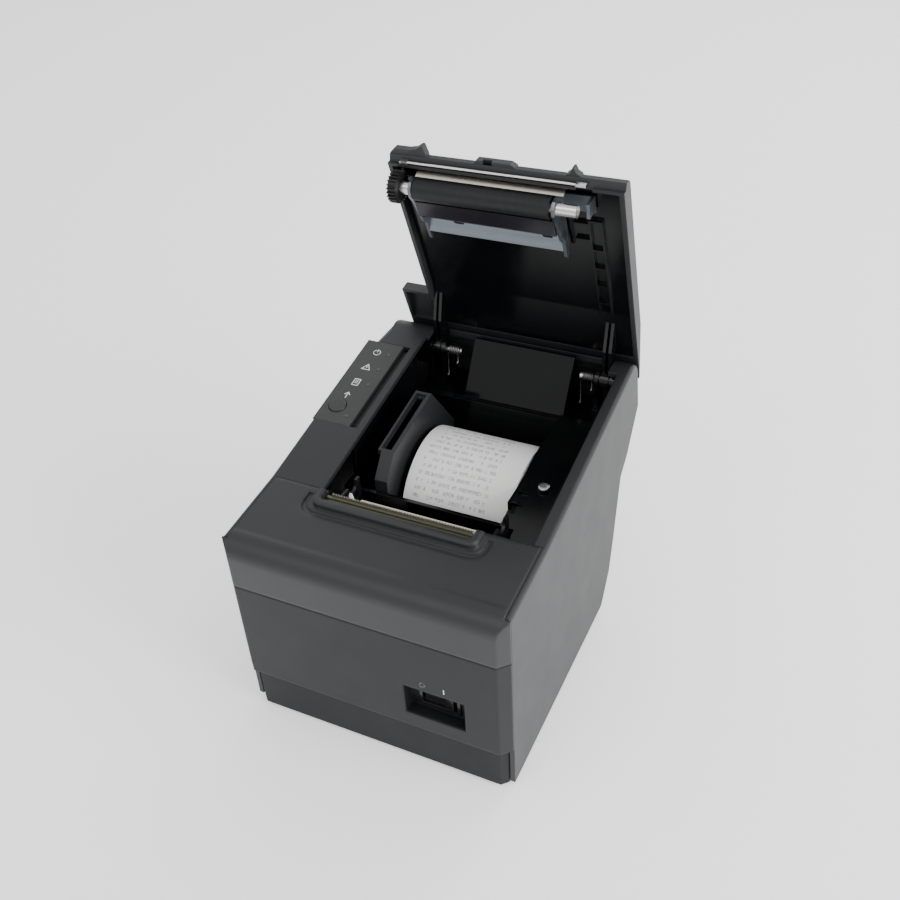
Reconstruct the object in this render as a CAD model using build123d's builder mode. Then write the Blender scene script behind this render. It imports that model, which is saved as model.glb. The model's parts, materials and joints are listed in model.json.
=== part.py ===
"""Desktop thermal receipt printer with its lid standing open, as separate pieces.

X runs left to right, Y from the front to the back and Z up, in millimetres. The origin is on
the table, below the middle of the printer. Pieces of the lid are drawn in the side view that
they have with the lid shut, and lid_side() turns that view up to the open rest pose.
"""

import os
from math import atan2, cos, degrees, radians, sin, tan

from build123d import *

# ---- driving dimensions: the casing ------------------------------------------------------
HALF_W = 72.5  # half the overall width
FRONT_Y = -92.0  # front face of the cover
CORNER_Y = -86.0  # where the front pieces end on the sides
WALL = 2.5  # casing wall
GAP = 0.3  # clearance between two casing pieces
SKIRT_Z = 28.5  # top of the recessed skirt
SEAM_Z = 87.5  # seam between the front panel and the top cap
CAP_REAR = -43.0  # rear edge of the top cap
CAP_REAR_Z = 117.0  # height of the casing top at that edge
CAP_FRONT = (-80.0, 113.7)  # where the cap's top meets its front rounding
CORNER = 5.0  # chamfer of the front corners
FOOT_H = 2.0  # rubber feet below the base

# ---- driving dimensions: the hinge and the lid -------------------------------------------
HINGE_Y = 78.8
HINGE_Z = 127.8
OPEN_ANGLE = 80.0  # swing of the lid from shut to open
BARREL_R = 10.8  # rounded rear top of the casing, about the hinge
PIN_R = 2.0
RUN_FIT = 0.05  # radial clearance of a pin or shaft that turns
LID_LEFT = -43.0  # left edge of the lid
WING_LEFT = -59.0  # left end of the lid's rear wing
WING_FRONT = 47.0  # front edge of that wing, lid shut
LID_PEAK = 45.0  # where the lid's top starts to fall away
LID_T = 9.0  # height of the lid above the casing top
LID_SKIN = 2.2
LID_GAP = 0.6  # gap under the shut lid

# ---- driving dimensions: paper and printing ----------------------------------------------
ROLL_R = 34.5
ROLL_W = 57.5  # standard 58 mm paper
ROLL_RIGHT = 39.3  # right end of the roll
ROLL_Y = 19.0
ROLL_Z = 78.2
WELL_R = 40.0  # rounded floor of the paper well
WELL_Y = 20.0
WELL_Z = 83.4
WELL_RIGHT = 40.0  # inner face of the well's right wall
PLATEN = (-33.0, 113.6)  # platen axis in the side view, lid shut
PLATEN_R = 5.25
PLATEN_X = (-27.5, 40.0)  # rubber, from left to right
SHAFT_R = 2.5
GEAR_X = (-39.5, 4.5)  # left face and width of the feed gears
MODULE = 0.6
PLATEN_TEETH = 24
IDLER_TEETH = 30
PINION_TEETH = 14
MOTOR_R = 10.4
HEAD_Y = -39.0  # heated face of the print head
FRAME_X = (-34.0, 46.5)  # outer faces of the print mechanism's side plates

# ---- driving dimensions: controls ---------------------------------------------------------
PANEL_RIGHT = -51.0
PANEL_Y = (-2.0, 61.0)
BUTTON = (-64.2, 10.0)  # feed button, X and Y
BUTTON_R = 4.6
SWITCH = (35.5, 47.0)  # centre of the rocker switch, X and Z
SWITCH_W = 21.0
SWITCH_H = 15.0
RECESS_W = 31.0
RECESS_H = 18.5
RECESS_D = 7.0

BODY_SLOPE = 10.1  # slope of the casing top behind the cap


def top_z(y):
    """Height of the casing top behind the cap."""
    return CAP_REAR_Z + (y - CAP_REAR) * tan(radians(BODY_SLOPE))


def cap_z(y):
    """Height of the cap's top."""
    slope = (CAP_REAR_Z - CAP_FRONT[1]) / (CAP_REAR - CAP_FRONT[0])
    return CAP_REAR_Z + (y - CAP_REAR) * slope


def about_hinge(radius, angle):
    """Point in the side view at an angle above +Y, seen from the hinge."""
    return HINGE_Y + radius * cos(radians(angle)), HINGE_Z + radius * sin(radians(angle))


def body_side(x):
    """Side view of the body: local x is +Y and local y is +Z."""
    return Plane(origin=(x, 0, 0), x_dir=(0, 1, 0), z_dir=(1, 0, 0))


def lid_side(x):
    """Side view of the shut lid, turned up about the hinge to its open place."""
    c = cos(radians(OPEN_ANGLE))
    s = sin(radians(OPEN_ANGLE))
    y = HINGE_Y * (1 - c) - HINGE_Z * s
    z = HINGE_Z * (1 - c) + HINGE_Y * s
    return Plane(origin=(x, y, z), x_dir=(0, c, -s), z_dir=(1, 0, 0))


def turned(y, z):
    """Where a point of the shut lid lies with the lid open."""
    spot = lid_side(0).from_local_coords((y, z))
    return spot.Y, spot.Z


def prism(view, x0, x1, points, mode=Mode.ADD):
    """A side-view outline, extruded from x0 to x1."""
    with BuildSketch(view(x0)) as profile:
        with BuildLine():
            Polyline(*points, close=True)
        make_face()
    extrude(profile.sketch, amount=x1 - x0, mode=mode)


def bar(view, x0, x1, low, high, mode=Mode.ADD):
    """A rectangle in the side view, from its low to its high corner, extruded."""
    (y0, z0), (y1, z1) = low, high
    prism(view, x0, x1, [(y0, z0), (y1, z0), (y1, z1), (y0, z1)], mode)


def rod(view, x0, x1, centre, radius, mode=Mode.ADD):
    """A round bar along X."""
    with BuildSketch(view(x0)) as profile:
        with Locations(centre):
            Circle(radius)
    extrude(profile.sketch, amount=x1 - x0, mode=mode)


def post(x, y, z0, z1, radius, mode=Mode.ADD):
    """A round bar along Z."""
    with BuildSketch(Plane.XY.offset(z0)) as profile:
        with Locations((x, y)):
            Circle(radius)
    extrude(profile.sketch, amount=z1 - z0, mode=mode)


def gear(view, x0, width, centre, teeth, bore, phase):
    """A spur gear with straight-sided teeth; phase is where its first tooth points."""
    pitch_r = MODULE * teeth / 2
    root_r = pitch_r - 1.2 * MODULE
    tip_r = pitch_r + 0.9 * MODULE
    root_half = 0.82 * MODULE
    tip_half = 0.34 * MODULE
    tooth = [
        (root_r - 0.3, -root_half),
        (tip_r, -tip_half),
        (tip_r, tip_half),
        (root_r - 0.3, root_half),
    ]
    with BuildSketch(view(x0)) as profile:
        with Locations(centre):
            Circle(root_r)
            with PolarLocations(0, teeth, start_angle=phase):
                Polygon(*tooth, align=None)
            Circle(bore, mode=Mode.SUBTRACT)
    extrude(profile.sketch, amount=width)


def save(builder, name):
    """Label a finished piece and write it under its own name."""
    builder.part.label = name
    export_step(builder.part, f"parts/{name}.step")


os.makedirs("parts", exist_ok=True)

# ---- casing --------------------------------------------------------------------------------

BARREL_TOP = about_hinge(BARREL_R, 90 + BODY_SLOPE)
BARREL_MID = about_hinge(BARREL_R, 45)
BARREL_REAR = about_hinge(BARREL_R, 0)
REAR_STEPS = [(92.0, 116.0), (92.0, 107.0), (76.0, 85.0), (66.0, 77.0), (57.5, 38.5), (52.5, 20.0)]
SIDE_BOTTOM_Z = 3.5


def casing_block(x0, x1, inset, mode=Mode.ADD):
    """The casing behind the front pieces as a full block, its outline shrunk by inset."""
    front = CORNER_Y + inset
    bottom_z = SIDE_BOTTOM_Z - 3 * inset
    top_front = (front, cap_z(front) - inset)
    cap_rear = (CAP_REAR, CAP_REAR_Z - inset)
    arc = [about_hinge(BARREL_R - inset, angle) for angle in (90 + BODY_SLOPE, 45, 0)]
    steps = [(y - inset, z + 0.6 * inset) for y, z in REAR_STEPS]
    with BuildSketch(body_side(x0)) as profile:
        with BuildLine():
            Polyline(top_front, cap_rear, arc[0])
            ThreePointArc(*arc)
            Polyline(arc[2], *steps, (41.0 - inset, bottom_z), (front, bottom_z), top_front)
        make_face()
    extrude(profile.sketch, amount=x1 - x0, mode=mode)


def slope_frame(y, z, slope):
    """Plane lying on a sloping top: local x is +X, local y climbs to the back."""
    rise = radians(slope)
    return Plane(origin=(0, y, z), x_dir=(1, 0, 0), z_dir=(0, -sin(rise), cos(rise)))


CAP_SLOPE = degrees(atan2(CAP_REAR_Z - CAP_FRONT[1], CAP_REAR - CAP_FRONT[0]))
CAP_TOP = slope_frame(CAP_REAR, CAP_REAR_Z, CAP_SLOPE)
DECK = slope_frame(CAP_REAR, CAP_REAR_Z, BODY_SLOPE)


def on_deck(y):
    """Distance of a place at depth y along the sloping deck."""
    return (y - CAP_REAR) / cos(radians(BODY_SLOPE))


def under_top(y0, y1, low, high):
    """Side-view outline that runs along the casing top, from low to high above it."""
    return [(y0, top_z(y0) + low), (y1, top_z(y1) + low), (y1, top_z(y1) + high), (y0, top_z(y0) + high)]


ARMS = [(-40.6, -36.0), (55.9, 60.5)]  # hinge arms of the lid
WINDOW_X = 46.0  # half width of the connector window
SHOULDER = 6.5  # bevel behind the control panel
GROOVE_X = -46.7  # right edge of the groove for the lid's skirt
MOUTH_RIGHT = 66.0
INNER_W = HALF_W - WALL

with BuildPart() as housing:
    casing_block(-HALF_W, HALF_W, 0)
    for side in (0, -1):
        rim = housing.edges().group_by(Axis.X)[side]
        fillet(rim.filter_by(lambda e: e.center().Z > CAP_FRONT[1]), radius=2)
    casing_block(-INNER_W, INNER_W, WALL, Mode.SUBTRACT)
    # open front for the front pieces and the cap
    bar(body_side, -INNER_W, INNER_W, (-95, 0), (CORNER_Y + 6, 130), Mode.SUBTRACT)
    bar(body_side, -INNER_W, INNER_W, (-95, 100), (CAP_REAR, 130), Mode.SUBTRACT)
    # mouth of the paper well, and slots in the barrel for the lid's arms
    bar(body_side, LID_LEFT, MOUTH_RIGHT, (CAP_REAR - 1, 100), (72, 150), Mode.SUBTRACT)
    for arm_left, arm_right in ARMS:
        bar(body_side, arm_left - 0.7, arm_right + 0.7, (71, 131), (95, 150), Mode.SUBTRACT)
    bar(body_side, ARMS[0][1], ARMS[1][0], (71, 129), (86, 150), Mode.SUBTRACT)
    # seat of the control panel and of the groove beside it
    seat = under_top(PANEL_Y[0], PANEL_Y[1], -WALL, 5)
    prism(body_side, -HALF_W - 1, GROOVE_X, seat, Mode.SUBTRACT)
    # bevelled shoulder behind the panel
    with BuildSketch(Plane.XZ.offset(-PANEL_Y[1])):
        with BuildLine():
            low = top_z(PANEL_Y[1]) - SHOULDER
            bevel_end = (-HALF_W + SHOULDER + 2, low + SHOULDER + 2)
            Polyline((-HALF_W - 1, low - 1), bevel_end, (-HALF_W - 1, 150), close=True)
        make_face()
    extrude(amount=-40, mode=Mode.SUBTRACT)
    # lower rear window for the connectors
    bar(body_side, -WINDOW_X, WINDOW_X, (40, 9), (75, 38), Mode.SUBTRACT)
save(housing, "main_housing")


def front_plan(inset, rear):
    """Plan of the wrapped front, shrunk by inset and ending at rear."""
    w = HALF_W - inset
    y = FRONT_Y + inset
    c = CORNER - 0.6 * inset
    return [(-w, rear), (-w, y + c), (-w + c, y), (w - c, y), (w, y + c), (w, rear)]


def upright(points, z0, z1, mode=Mode.ADD):
    """A plan outline, extruded from z0 to z1."""
    with BuildSketch(Plane.XY.offset(z0)) as plan:
        with BuildLine():
            Polyline(*points, close=True)
        make_face()
    extrude(plan.sketch, amount=z1 - z0, mode=mode)


def front_box(width, height, y0, y1, mode=Mode.ADD):
    """A box centred on the rocker switch, from y0 back to y1."""
    with BuildSketch(Plane.XZ.offset(-y0)) as face:
        with Locations(SWITCH):
            Rectangle(width, height)
    extrude(face.sketch, amount=-(y1 - y0), mode=mode)


RECESS_Y = FRONT_Y + RECESS_D

with BuildPart() as front_panel:
    upright(front_plan(0, CORNER_Y - 0.1), SKIRT_Z, SEAM_Z - GAP)
    upright(front_plan(WALL, CORNER_Y + 1), SKIRT_Z + 2, SEAM_Z + 1, Mode.SUBTRACT)
    upright(front_plan(WALL + 2.4, CORNER_Y + 1), SKIRT_Z - 1, SKIRT_Z + 3, Mode.SUBTRACT)
    front_box(RECESS_W + 3, RECESS_H + 3, FRONT_Y + 1, RECESS_Y + 1.5)
    front_box(RECESS_W, RECESS_H, FRONT_Y - 1, RECESS_Y, Mode.SUBTRACT)
    front_box(SWITCH_W - 1.4, SWITCH_H - 1.4, RECESS_Y - 1, RECESS_Y + 2, Mode.SUBTRACT)
save(front_panel, "front_panel")

# ---- top cap with the paper exit ------------------------------------------------------------

EXIT_W = 79.0  # width of the paper exit
RIM = 3.6  # width of the raised rim round it
RIM_H = 3.2
EXIT_FRONT = -52.0
CAP_EDGE = CAP_REAR - GAP


def cap_side(inset):
    """Side view of the cap's outer skin, shrunk by inset."""
    top_front = (CAP_FRONT[0], CAP_FRONT[1] - inset)
    low_front = (FRONT_Y + inset, 104.5)
    bend = (FRONT_Y + 3.0 + 0.9 * inset, 111.0 - 0.6 * inset)
    return low_front, bend, top_front


def cap_block(inset, rear, bottom):
    """The space under the cap's outer surface, as a full block."""
    low_front, bend, top_front = cap_side(inset)
    top_rear = (rear, cap_z(rear) - inset)
    with BuildSketch(body_side(-HALF_W)) as profile:
        with BuildLine():
            ThreePointArc(low_front, bend, top_front)
            Polyline(top_front, top_rear, (rear, bottom), (low_front[0], bottom), low_front)
        make_face()
    extrude(profile.sketch, amount=2 * HALF_W)


with BuildPart() as cap_core:
    cap_block(WALL, CAP_REAR + 5, SEAM_Z - 5)
    corner = front_plan(WALL, CORNER_Y - GAP)
    upright(corner + [(HALF_W, CORNER_Y - GAP), (HALF_W, 0), (-HALF_W, 0), (-HALF_W, CORNER_Y - GAP)],
            60, 130, Mode.INTERSECT)

with BuildPart() as top_cap:
    cap_block(0, CAP_EDGE, SEAM_Z)
    corner = front_plan(0, CORNER_Y - GAP)
    tongue = INNER_W - 0.2
    upright(corner + [(tongue, CORNER_Y - GAP), (tongue, 0), (-tongue, 0), (-tongue, CORNER_Y - GAP)],
            60, 130, Mode.INTERSECT)
    add(cap_core.part, mode=Mode.SUBTRACT)
    # raised rim round the paper exit, open to the back
    with BuildSketch(CAP_TOP.offset(-WALL)):
        with Locations((0, EXIT_FRONT - RIM - CAP_REAR + 15)):
            RectangleRounded(EXIT_W + 2 * RIM, 30, 4.5)
        with Locations((0, 15 - 2.0)):
            Rectangle(120, 30, mode=Mode.SUBTRACT)
    extrude(amount=WALL + RIM_H)
    rim_top = top_cap.faces().sort_by(Axis.Z)[-1]
    fillet(rim_top.edges(), radius=1.2)
    with BuildSketch(CAP_TOP.offset(-WALL - 1)):
        with Locations((0, EXIT_FRONT - CAP_REAR + 15)):
            RectangleRounded(EXIT_W, 30, 2.5)
    extrude(amount=WALL + RIM_H + 3, mode=Mode.SUBTRACT)
    # moulded groove round the rim
    with BuildSketch(CAP_TOP.offset(-0.7)):
        with Locations((0, EXIT_FRONT - RIM - 5.0 - CAP_REAR + 20)):
            RectangleRounded(EXIT_W + 2 * RIM + 10.0, 40, 8)
        with Locations((0, EXIT_FRONT - RIM - 2.4 - CAP_REAR + 20)):
            RectangleRounded(EXIT_W + 2 * RIM + 4.8, 40, 6, mode=Mode.SUBTRACT)
        with Locations((0, 20 - 4.0)):
            Rectangle(140, 40, mode=Mode.SUBTRACT)
    extrude(amount=2, mode=Mode.SUBTRACT)
save(top_cap, "top_cap")

# ---- base -------------------------------------------------------------------------------------

BASE_Z = FOOT_H
BASE_T = 2.5
BASE_REAR = 38.0
BASE_IN = 3.0  # how far the skirt stands in from the cover
FEET = [(-58, -76), (58, -76), (-58, 28), (58, 28)]
SCREWS = [(-62, -60), (62, -60), (-62, 12), (62, 12)]

with BuildPart() as base_tray:
    skirt = front_plan(BASE_IN, BASE_REAR)
    upright(skirt, BASE_Z, SKIRT_Z - 0.2)
    upright(front_plan(BASE_IN + WALL, BASE_REAR + 1), BASE_Z + BASE_T, SKIRT_Z + 1, Mode.SUBTRACT)
    for x, y in SCREWS:
        post(x, y, BASE_Z, BASE_Z + 8, 4.0)
        post(x, y, BASE_Z - 1, BASE_Z + 10, 1.5, Mode.SUBTRACT)
        post(x, y, BASE_Z - 1, BASE_Z + 1.4, 3.2, Mode.SUBTRACT)
save(base_tray, "base_tray")

with BuildPart() as feet:
    for x, y in FEET:
        post(x, y, 0, FOOT_H, 7.5)
    fillet(feet.edges().filter_by(GeomType.CIRCLE).group_by(Axis.Z)[0], radius=0.8)
save(feet, "rubber_feet")

with BuildPart() as case_screws:
    for x, y in SCREWS:
        post(x, y, BASE_Z + 0.2, BASE_Z + 1.4, 3.0)
        post(x, y, BASE_Z + 1.4, BASE_Z + 12, 1.5)
save(case_screws, "case_screws")

# ---- electronics ------------------------------------------------------------------------------

BOARD_Z = 8.0
BOARD_T = 1.6
BOARD_TOP = BOARD_Z + BOARD_T
PORT_Y = (33.0, 49.6)
IO_Y = (47.0, 48.0)
# name, X centre, width, height, wall
PORTS = [
    ("network_jack", -31.0, 16.0, 13.4, 1.2),
    ("usb_socket", -10.0, 12.0, 10.9, 1.2),
    ("drawer_jack", 10.0, 13.2, 12.0, 1.2),
    ("power_inlet", 32.0, 14.0, 13.0, 1.2),
]

with BuildPart() as main_board:
    with BuildSketch(Plane.XY.offset(BOARD_Z)):
        with Locations((0, -20)):
            Rectangle(108, 118)
            GridLocations(96, 106, 2, 2)
    extrude(amount=BOARD_T)
    for x in (-48, 48):
        for y in (-73, 33):
            post(x, y, BOARD_Z - 1, BOARD_TOP + 1, 1.6, Mode.SUBTRACT)
save(main_board, "main_board")

with BuildPart() as board_parts:
    for x, y, wide, deep, tall in [(-18, -24, 20, 20, 1.6), (18, -20, 12, 9, 1.2), (30, -50, 14, 26, 3.0),
                                   (-34, 0, 10, 14, 4.0), (-5, -66, 40, 6, 5.5)]:
        with Locations((x, y, BOARD_TOP + tall / 2)):
            Box(wide, deep, tall)
    for x, y in [(40, 6), (40, 18), (26, 12)]:
        post(x, y, BOARD_TOP, BOARD_TOP + 14, 5)
save(board_parts, "board_components")

with BuildPart() as io_panel:
    with BuildSketch(Plane.XZ.offset(-IO_Y[0])):
        with Locations((0, 23.4)):
            Rectangle(2 * WINDOW_X - 1, 27.6)
        for name, x, wide, tall, wall in PORTS:
            with Locations((x, BOARD_TOP + tall / 2)):
                Rectangle(wide + 0.5, tall + 0.5, mode=Mode.SUBTRACT)
    extrude(amount=-(IO_Y[1] - IO_Y[0]))
save(io_panel, "connector_plate")

for name, x, wide, tall, wall in PORTS:
    with BuildPart() as port:
        with BuildSketch(Plane.XZ.offset(-PORT_Y[0])):
            with Locations((x, BOARD_TOP + tall / 2)):
                Rectangle(wide, tall)
        extrude(amount=-(PORT_Y[1] - PORT_Y[0]))
        with BuildSketch(Plane.XZ.offset(-PORT_Y[0] - 4)):
            with Locations((x, BOARD_TOP + tall / 2)):
                if name == "power_inlet":
                    Circle(5.2)
                else:
                    Rectangle(wide - 2 * wall, tall - 2 * wall)
        extrude(amount=-(PORT_Y[1] - PORT_Y[0]), mode=Mode.SUBTRACT)
    save(port, name)

# ---- paper well ---------------------------------------------------------------------------------

WELL_T = 2.0
WELL_LEFT = LID_LEFT
LEDGE_Z = 110.0
RIM_DROP = 3.2  # how far the well's walls stop below the casing top
WELL_REAR = 60.0
BULK_TOP = (80.5, 136.5)  # top of the sloping rear wall of the well
BULK_LOW = (64.0, LEDGE_Z)
LEDGE_FRONT = -22.0
CURTAIN_FRONT = -42.0  # front end of the ledge's outer part
LEDGE = [(WELL_REAR, 113.4), (24.0, 113.4), (LEDGE_FRONT, 103.0)]  # ledge beside the roll
BOSS = (52.5, 4.0)
BOSS_TOP = 110.4


def ledge_z(y):
    """Height of the ledge's sloping front part."""
    (y0, z0), (y1, z1) = LEDGE[1:]
    return z0 + (y - y0) * (z1 - z0) / (y1 - y0)


def bucket(x0, x1, radius, mode=Mode.ADD):
    """A round-bottomed trough in the side view, open at the top."""
    front = (WELL_Y - radius, WELL_Z)
    low = (WELL_Y, WELL_Z - radius)
    rear = (WELL_Y + radius, WELL_Z)
    with BuildSketch(body_side(x0)) as profile:
        with BuildLine():
            ThreePointArc(front, low, rear)
            Polyline(rear, (rear[0], LEDGE_Z), (front[0], LEDGE_Z), front)
        make_face()
    extrude(profile.sketch, amount=x1 - x0, mode=mode)


with BuildPart() as paper_well:
    bucket(WELL_LEFT - WELL_T, WELL_RIGHT + WELL_T, WELL_R + WELL_T)
    bucket(WELL_LEFT, WELL_RIGHT, WELL_R, Mode.SUBTRACT)
    # front edge stays low enough for the print mechanism
    bar(body_side, WELL_LEFT - 5, WELL_RIGHT + 5, (-30, 103), (-12, 120), Mode.SUBTRACT)
    # left wall up to the casing top
    side_wall = [(-12, LEDGE_Z - 1), (WELL_REAR, LEDGE_Z - 1), (WELL_REAR, top_z(WELL_REAR) - RIM_DROP),
                 (-12, top_z(-12) - RIM_DROP)]
    prism(body_side, WELL_LEFT - WELL_T, WELL_LEFT - 0.2, side_wall)
    # ledge on the right and the curtain wall beside it
    curtain = MOUTH_RIGHT - 0.3
    low = [(y, z - WELL_T) for y, z in LEDGE]
    prism(body_side, WELL_RIGHT, curtain, LEDGE + low[::-1])
    prism(body_side, WELL_RIGHT, WELL_RIGHT + WELL_T, LEDGE + [(-12, 98), (WELL_REAR, 98)])
    end_z = ledge_z(CURTAIN_FRONT)
    step = [(LEDGE_FRONT, LEDGE[2][1]), (CURTAIN_FRONT, end_z), (CURTAIN_FRONT, end_z - WELL_T), low[2]]
    prism(body_side, FRAME_X[1] + 0.7, curtain, step)
    curtain_top = [(y, top_z(y) - RIM_DROP) for y in (WELL_REAR, CURTAIN_FRONT)]
    curtain_low = [(CURTAIN_FRONT, end_z - WELL_T)] + low[::-1]
    prism(body_side, curtain - 1.6, curtain, curtain_top + curtain_low)
    # stop for the roll on the wall, and the screw boss
    for y in (-1.5, -9.0):
        bar(body_side, WELL_RIGHT + WELL_T, WELL_RIGHT + 5.5, (y, ledge_z(y) - 1), (y + 1.2, ledge_z(y) + 1.6))
    post(*BOSS, 104.0, BOSS_TOP, 3.2)
    post(*BOSS, 100.0, BOSS_TOP + 2, 1.5, Mode.SUBTRACT)
save(paper_well, "paper_well")

with BuildPart() as well_screw:
    post(*BOSS, BOSS_TOP, BOSS_TOP + 1.6, 2.6)
    post(*BOSS, 101.0, BOSS_TOP, 1.45)
save(well_screw, "well_screw")

SHELF_REAR = 88.0
BULK_X = (-17.0, 40.0)

with BuildPart() as rear_bulkhead:
    slant = [BULK_LOW, (BULK_LOW[0] + 2, BULK_LOW[1]), (BULK_TOP[0] + 1.8, BULK_TOP[1]), BULK_TOP]
    prism(body_side, BULK_X[0], BULK_X[1], slant)
    cheek = [BULK_LOW, (SHELF_REAR, LEDGE_Z), (SHELF_REAR - 0.6, 121.5), (85.3, 127.5), (82.3, BULK_TOP[1]), BULK_TOP]
    for x in (BULK_X[0], BULK_X[1] - 1.8):
        prism(body_side, x, x + 1.8, cheek)
    shelf_front = WELL_REAR + WELL_T + 0.2
    bar(body_side, WELL_LEFT, MOUTH_RIGHT - 0.3, (shelf_front, LEDGE_Z - WELL_T), (SHELF_REAR, LEDGE_Z))
save(rear_bulkhead, "rear_bulkhead")

# ---- hinges -------------------------------------------------------------------------------------

HINGE = (HINGE_Y, HINGE_Z)
EAR_R = 5.0
EAR_GAP = 0.6
SPRING_R = 3.6
SPRING_WIRE = 1.1

# arm, outer end of the pin, direction towards the spring
HINGES = [("left", ARMS[0], 1), ("right", ARMS[1], -1)]
for side_name, (arm_left, arm_right), inward in HINGES:
    outer_face = (arm_left if inward > 0 else arm_right) - inward * EAR_GAP
    inner_face = (arm_right if inward > 0 else arm_left) + inward * EAR_GAP
    pin_start = outer_face - inward * 3.4
    pin_end = inner_face + inward * 11.0
    ears = [sorted((outer_face - inward * 3.0, outer_face)), sorted((inner_face, inner_face + inward * 2.4))]
    with BuildPart() as bracket:
        for ear_left, ear_right in ears:
            rod(body_side, ear_left, ear_right, HINGE, EAR_R)
            bar(body_side, ear_left, ear_right, (HINGE_Y - 4, LEDGE_Z), (HINGE_Y + 4, HINGE_Z))
        foot_left = min(ears[0][0], ears[1][0])
        foot_right = max(ears[0][1], ears[1][1])
        bar(body_side, foot_left, foot_right, (HINGE_Y - 7, LEDGE_Z), (HINGE_Y + 6, LEDGE_Z + 2.4))
        rod(body_side, foot_left - 1, foot_right + 1, HINGE, PIN_R, Mode.SUBTRACT)
    save(bracket, f"hinge_bracket_{side_name}")
    with BuildPart() as pin:
        rod(body_side, min(pin_start, pin_end), max(pin_start, pin_end), HINGE, PIN_R)
    save(pin, f"hinge_pin_{side_name}")
    coil_start = inner_face + inward * 3.2
    coil_end = inner_face + inward * 10.2
    with BuildPart() as spring:
        coil_left = min(coil_start, coil_end)
        coil_right = max(coil_start, coil_end)
        rod(body_side, coil_left, coil_right, HINGE, SPRING_R)
        rod(body_side, coil_left - 1, coil_right + 1, HINGE, SPRING_R - SPRING_WIRE, Mode.SUBTRACT)
        leg = coil_right - SPRING_WIRE if inward > 0 else coil_left
        leg_top = [(HINGE_Y - 3.4, HINGE_Z - 0.6), (HINGE_Y - 2.9, HINGE_Z + 0.4)]
        prism(body_side, leg, leg + SPRING_WIRE, leg_top + [(70.6, 113.6), (69.6, 113.6)])
    save(spring, f"torsion_spring_{side_name}")

# ---- paper roll and divider -----------------------------------------------------------------------

CORE_R = 8.0
CORE_HOLE = 6.3
ROLL_LEFT = ROLL_RIGHT - ROLL_W
ROLL_AXIS = (ROLL_Y, ROLL_Z)

with BuildPart() as paper_roll:
    rod(body_side, ROLL_LEFT, ROLL_RIGHT, ROLL_AXIS, ROLL_R)
    rod(body_side, ROLL_LEFT - 1, ROLL_RIGHT + 1, ROLL_AXIS, CORE_R, Mode.SUBTRACT)
save(paper_roll, "paper_roll")

with BuildPart() as roll_core:
    rod(body_side, ROLL_LEFT, ROLL_RIGHT, ROLL_AXIS, CORE_R)
    rod(body_side, ROLL_LEFT - 1, ROLL_RIGHT + 1, ROLL_AXIS, CORE_HOLE, Mode.SUBTRACT)
save(roll_core, "roll_core")

DIVIDER_X = (-24.0, -22.0)
DIVIDER_TOP = -3.0
DIVIDER_REAR = 35.0
RAIL_FRONT = -9.0  # front end of its slotted rail

with BuildPart() as divider:
    front_top = (RAIL_FRONT, top_z(RAIL_FRONT) + DIVIDER_TOP)
    nose = [(-18.5, 108.5), (-19.0, 98.0)]
    rear_top = (DIVIDER_REAR, top_z(DIVIDER_REAR) + DIVIDER_TOP)
    arc_front = (WELL_Y - WELL_R + 1.2, WELL_Z)
    arc_low = (WELL_Y, WELL_Z - WELL_R + 1.2)
    arc_rear = (WELL_Y + WELL_R - 1.2, WELL_Z)
    with BuildSketch(body_side(DIVIDER_X[0])):
        with BuildLine():
            ThreePointArc(arc_front, arc_low, arc_rear)
            Polyline(arc_rear, (arc_rear[0], 96), (50, 108), rear_top, front_top, *nose, arc_front)
        make_face()
    extrude(amount=DIVIDER_X[1] - DIVIDER_X[0])
    # slotted rail along the top
    rail_low = DIVIDER_TOP - 3
    for x0, x1, y0, y1, high in (
        (-31.0, DIVIDER_X[0], RAIL_FRONT, DIVIDER_REAR, DIVIDER_TOP - 1.6),
        (-31.0, -29.8, RAIL_FRONT, DIVIDER_REAR, DIVIDER_TOP),
        (-31.0, DIVIDER_X[0], DIVIDER_REAR - 1.6, DIVIDER_REAR, DIVIDER_TOP),
        (-31.0, DIVIDER_X[0], RAIL_FRONT, RAIL_FRONT + 1.6, DIVIDER_TOP),
    ):
        prism(body_side, x0, x1, under_top(y0, y1, rail_low, high))
    slot = under_top(RAIL_FRONT + 2.6, DIVIDER_REAR - 3, DIVIDER_TOP - 4, DIVIDER_TOP)
    prism(body_side, -28.9, -25.2, slot, Mode.SUBTRACT)
    # lower guard in front of the rail
    guard = [front_top, nose[0], nose[1], (-17.6, 98.0), (-17.2, 107.6), (RAIL_FRONT, front_top[1] - 1.8)]
    prism(body_side, -29.0, DIVIDER_X[0], guard)
save(divider, "paper_divider")

# ---- print mechanism in the body --------------------------------------------------------------------

PLATE = 1.5
FRAME_Y = (-55.5, -26.0)
FRAME_Z = (62.0, 115.0)
BLADE_STOP_Y = -41.8  # front edge of the plates, behind the blade's travel
STEP_Z = 97.0
MESH_GAP = 0.12
IDLER_DIST = MODULE * (PLATEN_TEETH + IDLER_TEETH) / 2 + MESH_GAP
IDLER = (PLATEN[0], PLATEN[1] - IDLER_DIST)
PINION_DIST = MODULE * (IDLER_TEETH + PINION_TEETH) / 2 + MESH_GAP
PINION_OFF = 3.0
PINION = (IDLER[0] - PINION_OFF, IDLER[1] - (PINION_DIST**2 - PINION_OFF**2) ** 0.5)
BUSH_R = 3.1
AXLE_R = 1.5
MOTOR_SHAFT_R = 1.2
PIVOT = (-42.0, 100.2)  # pivot of the print head

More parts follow.
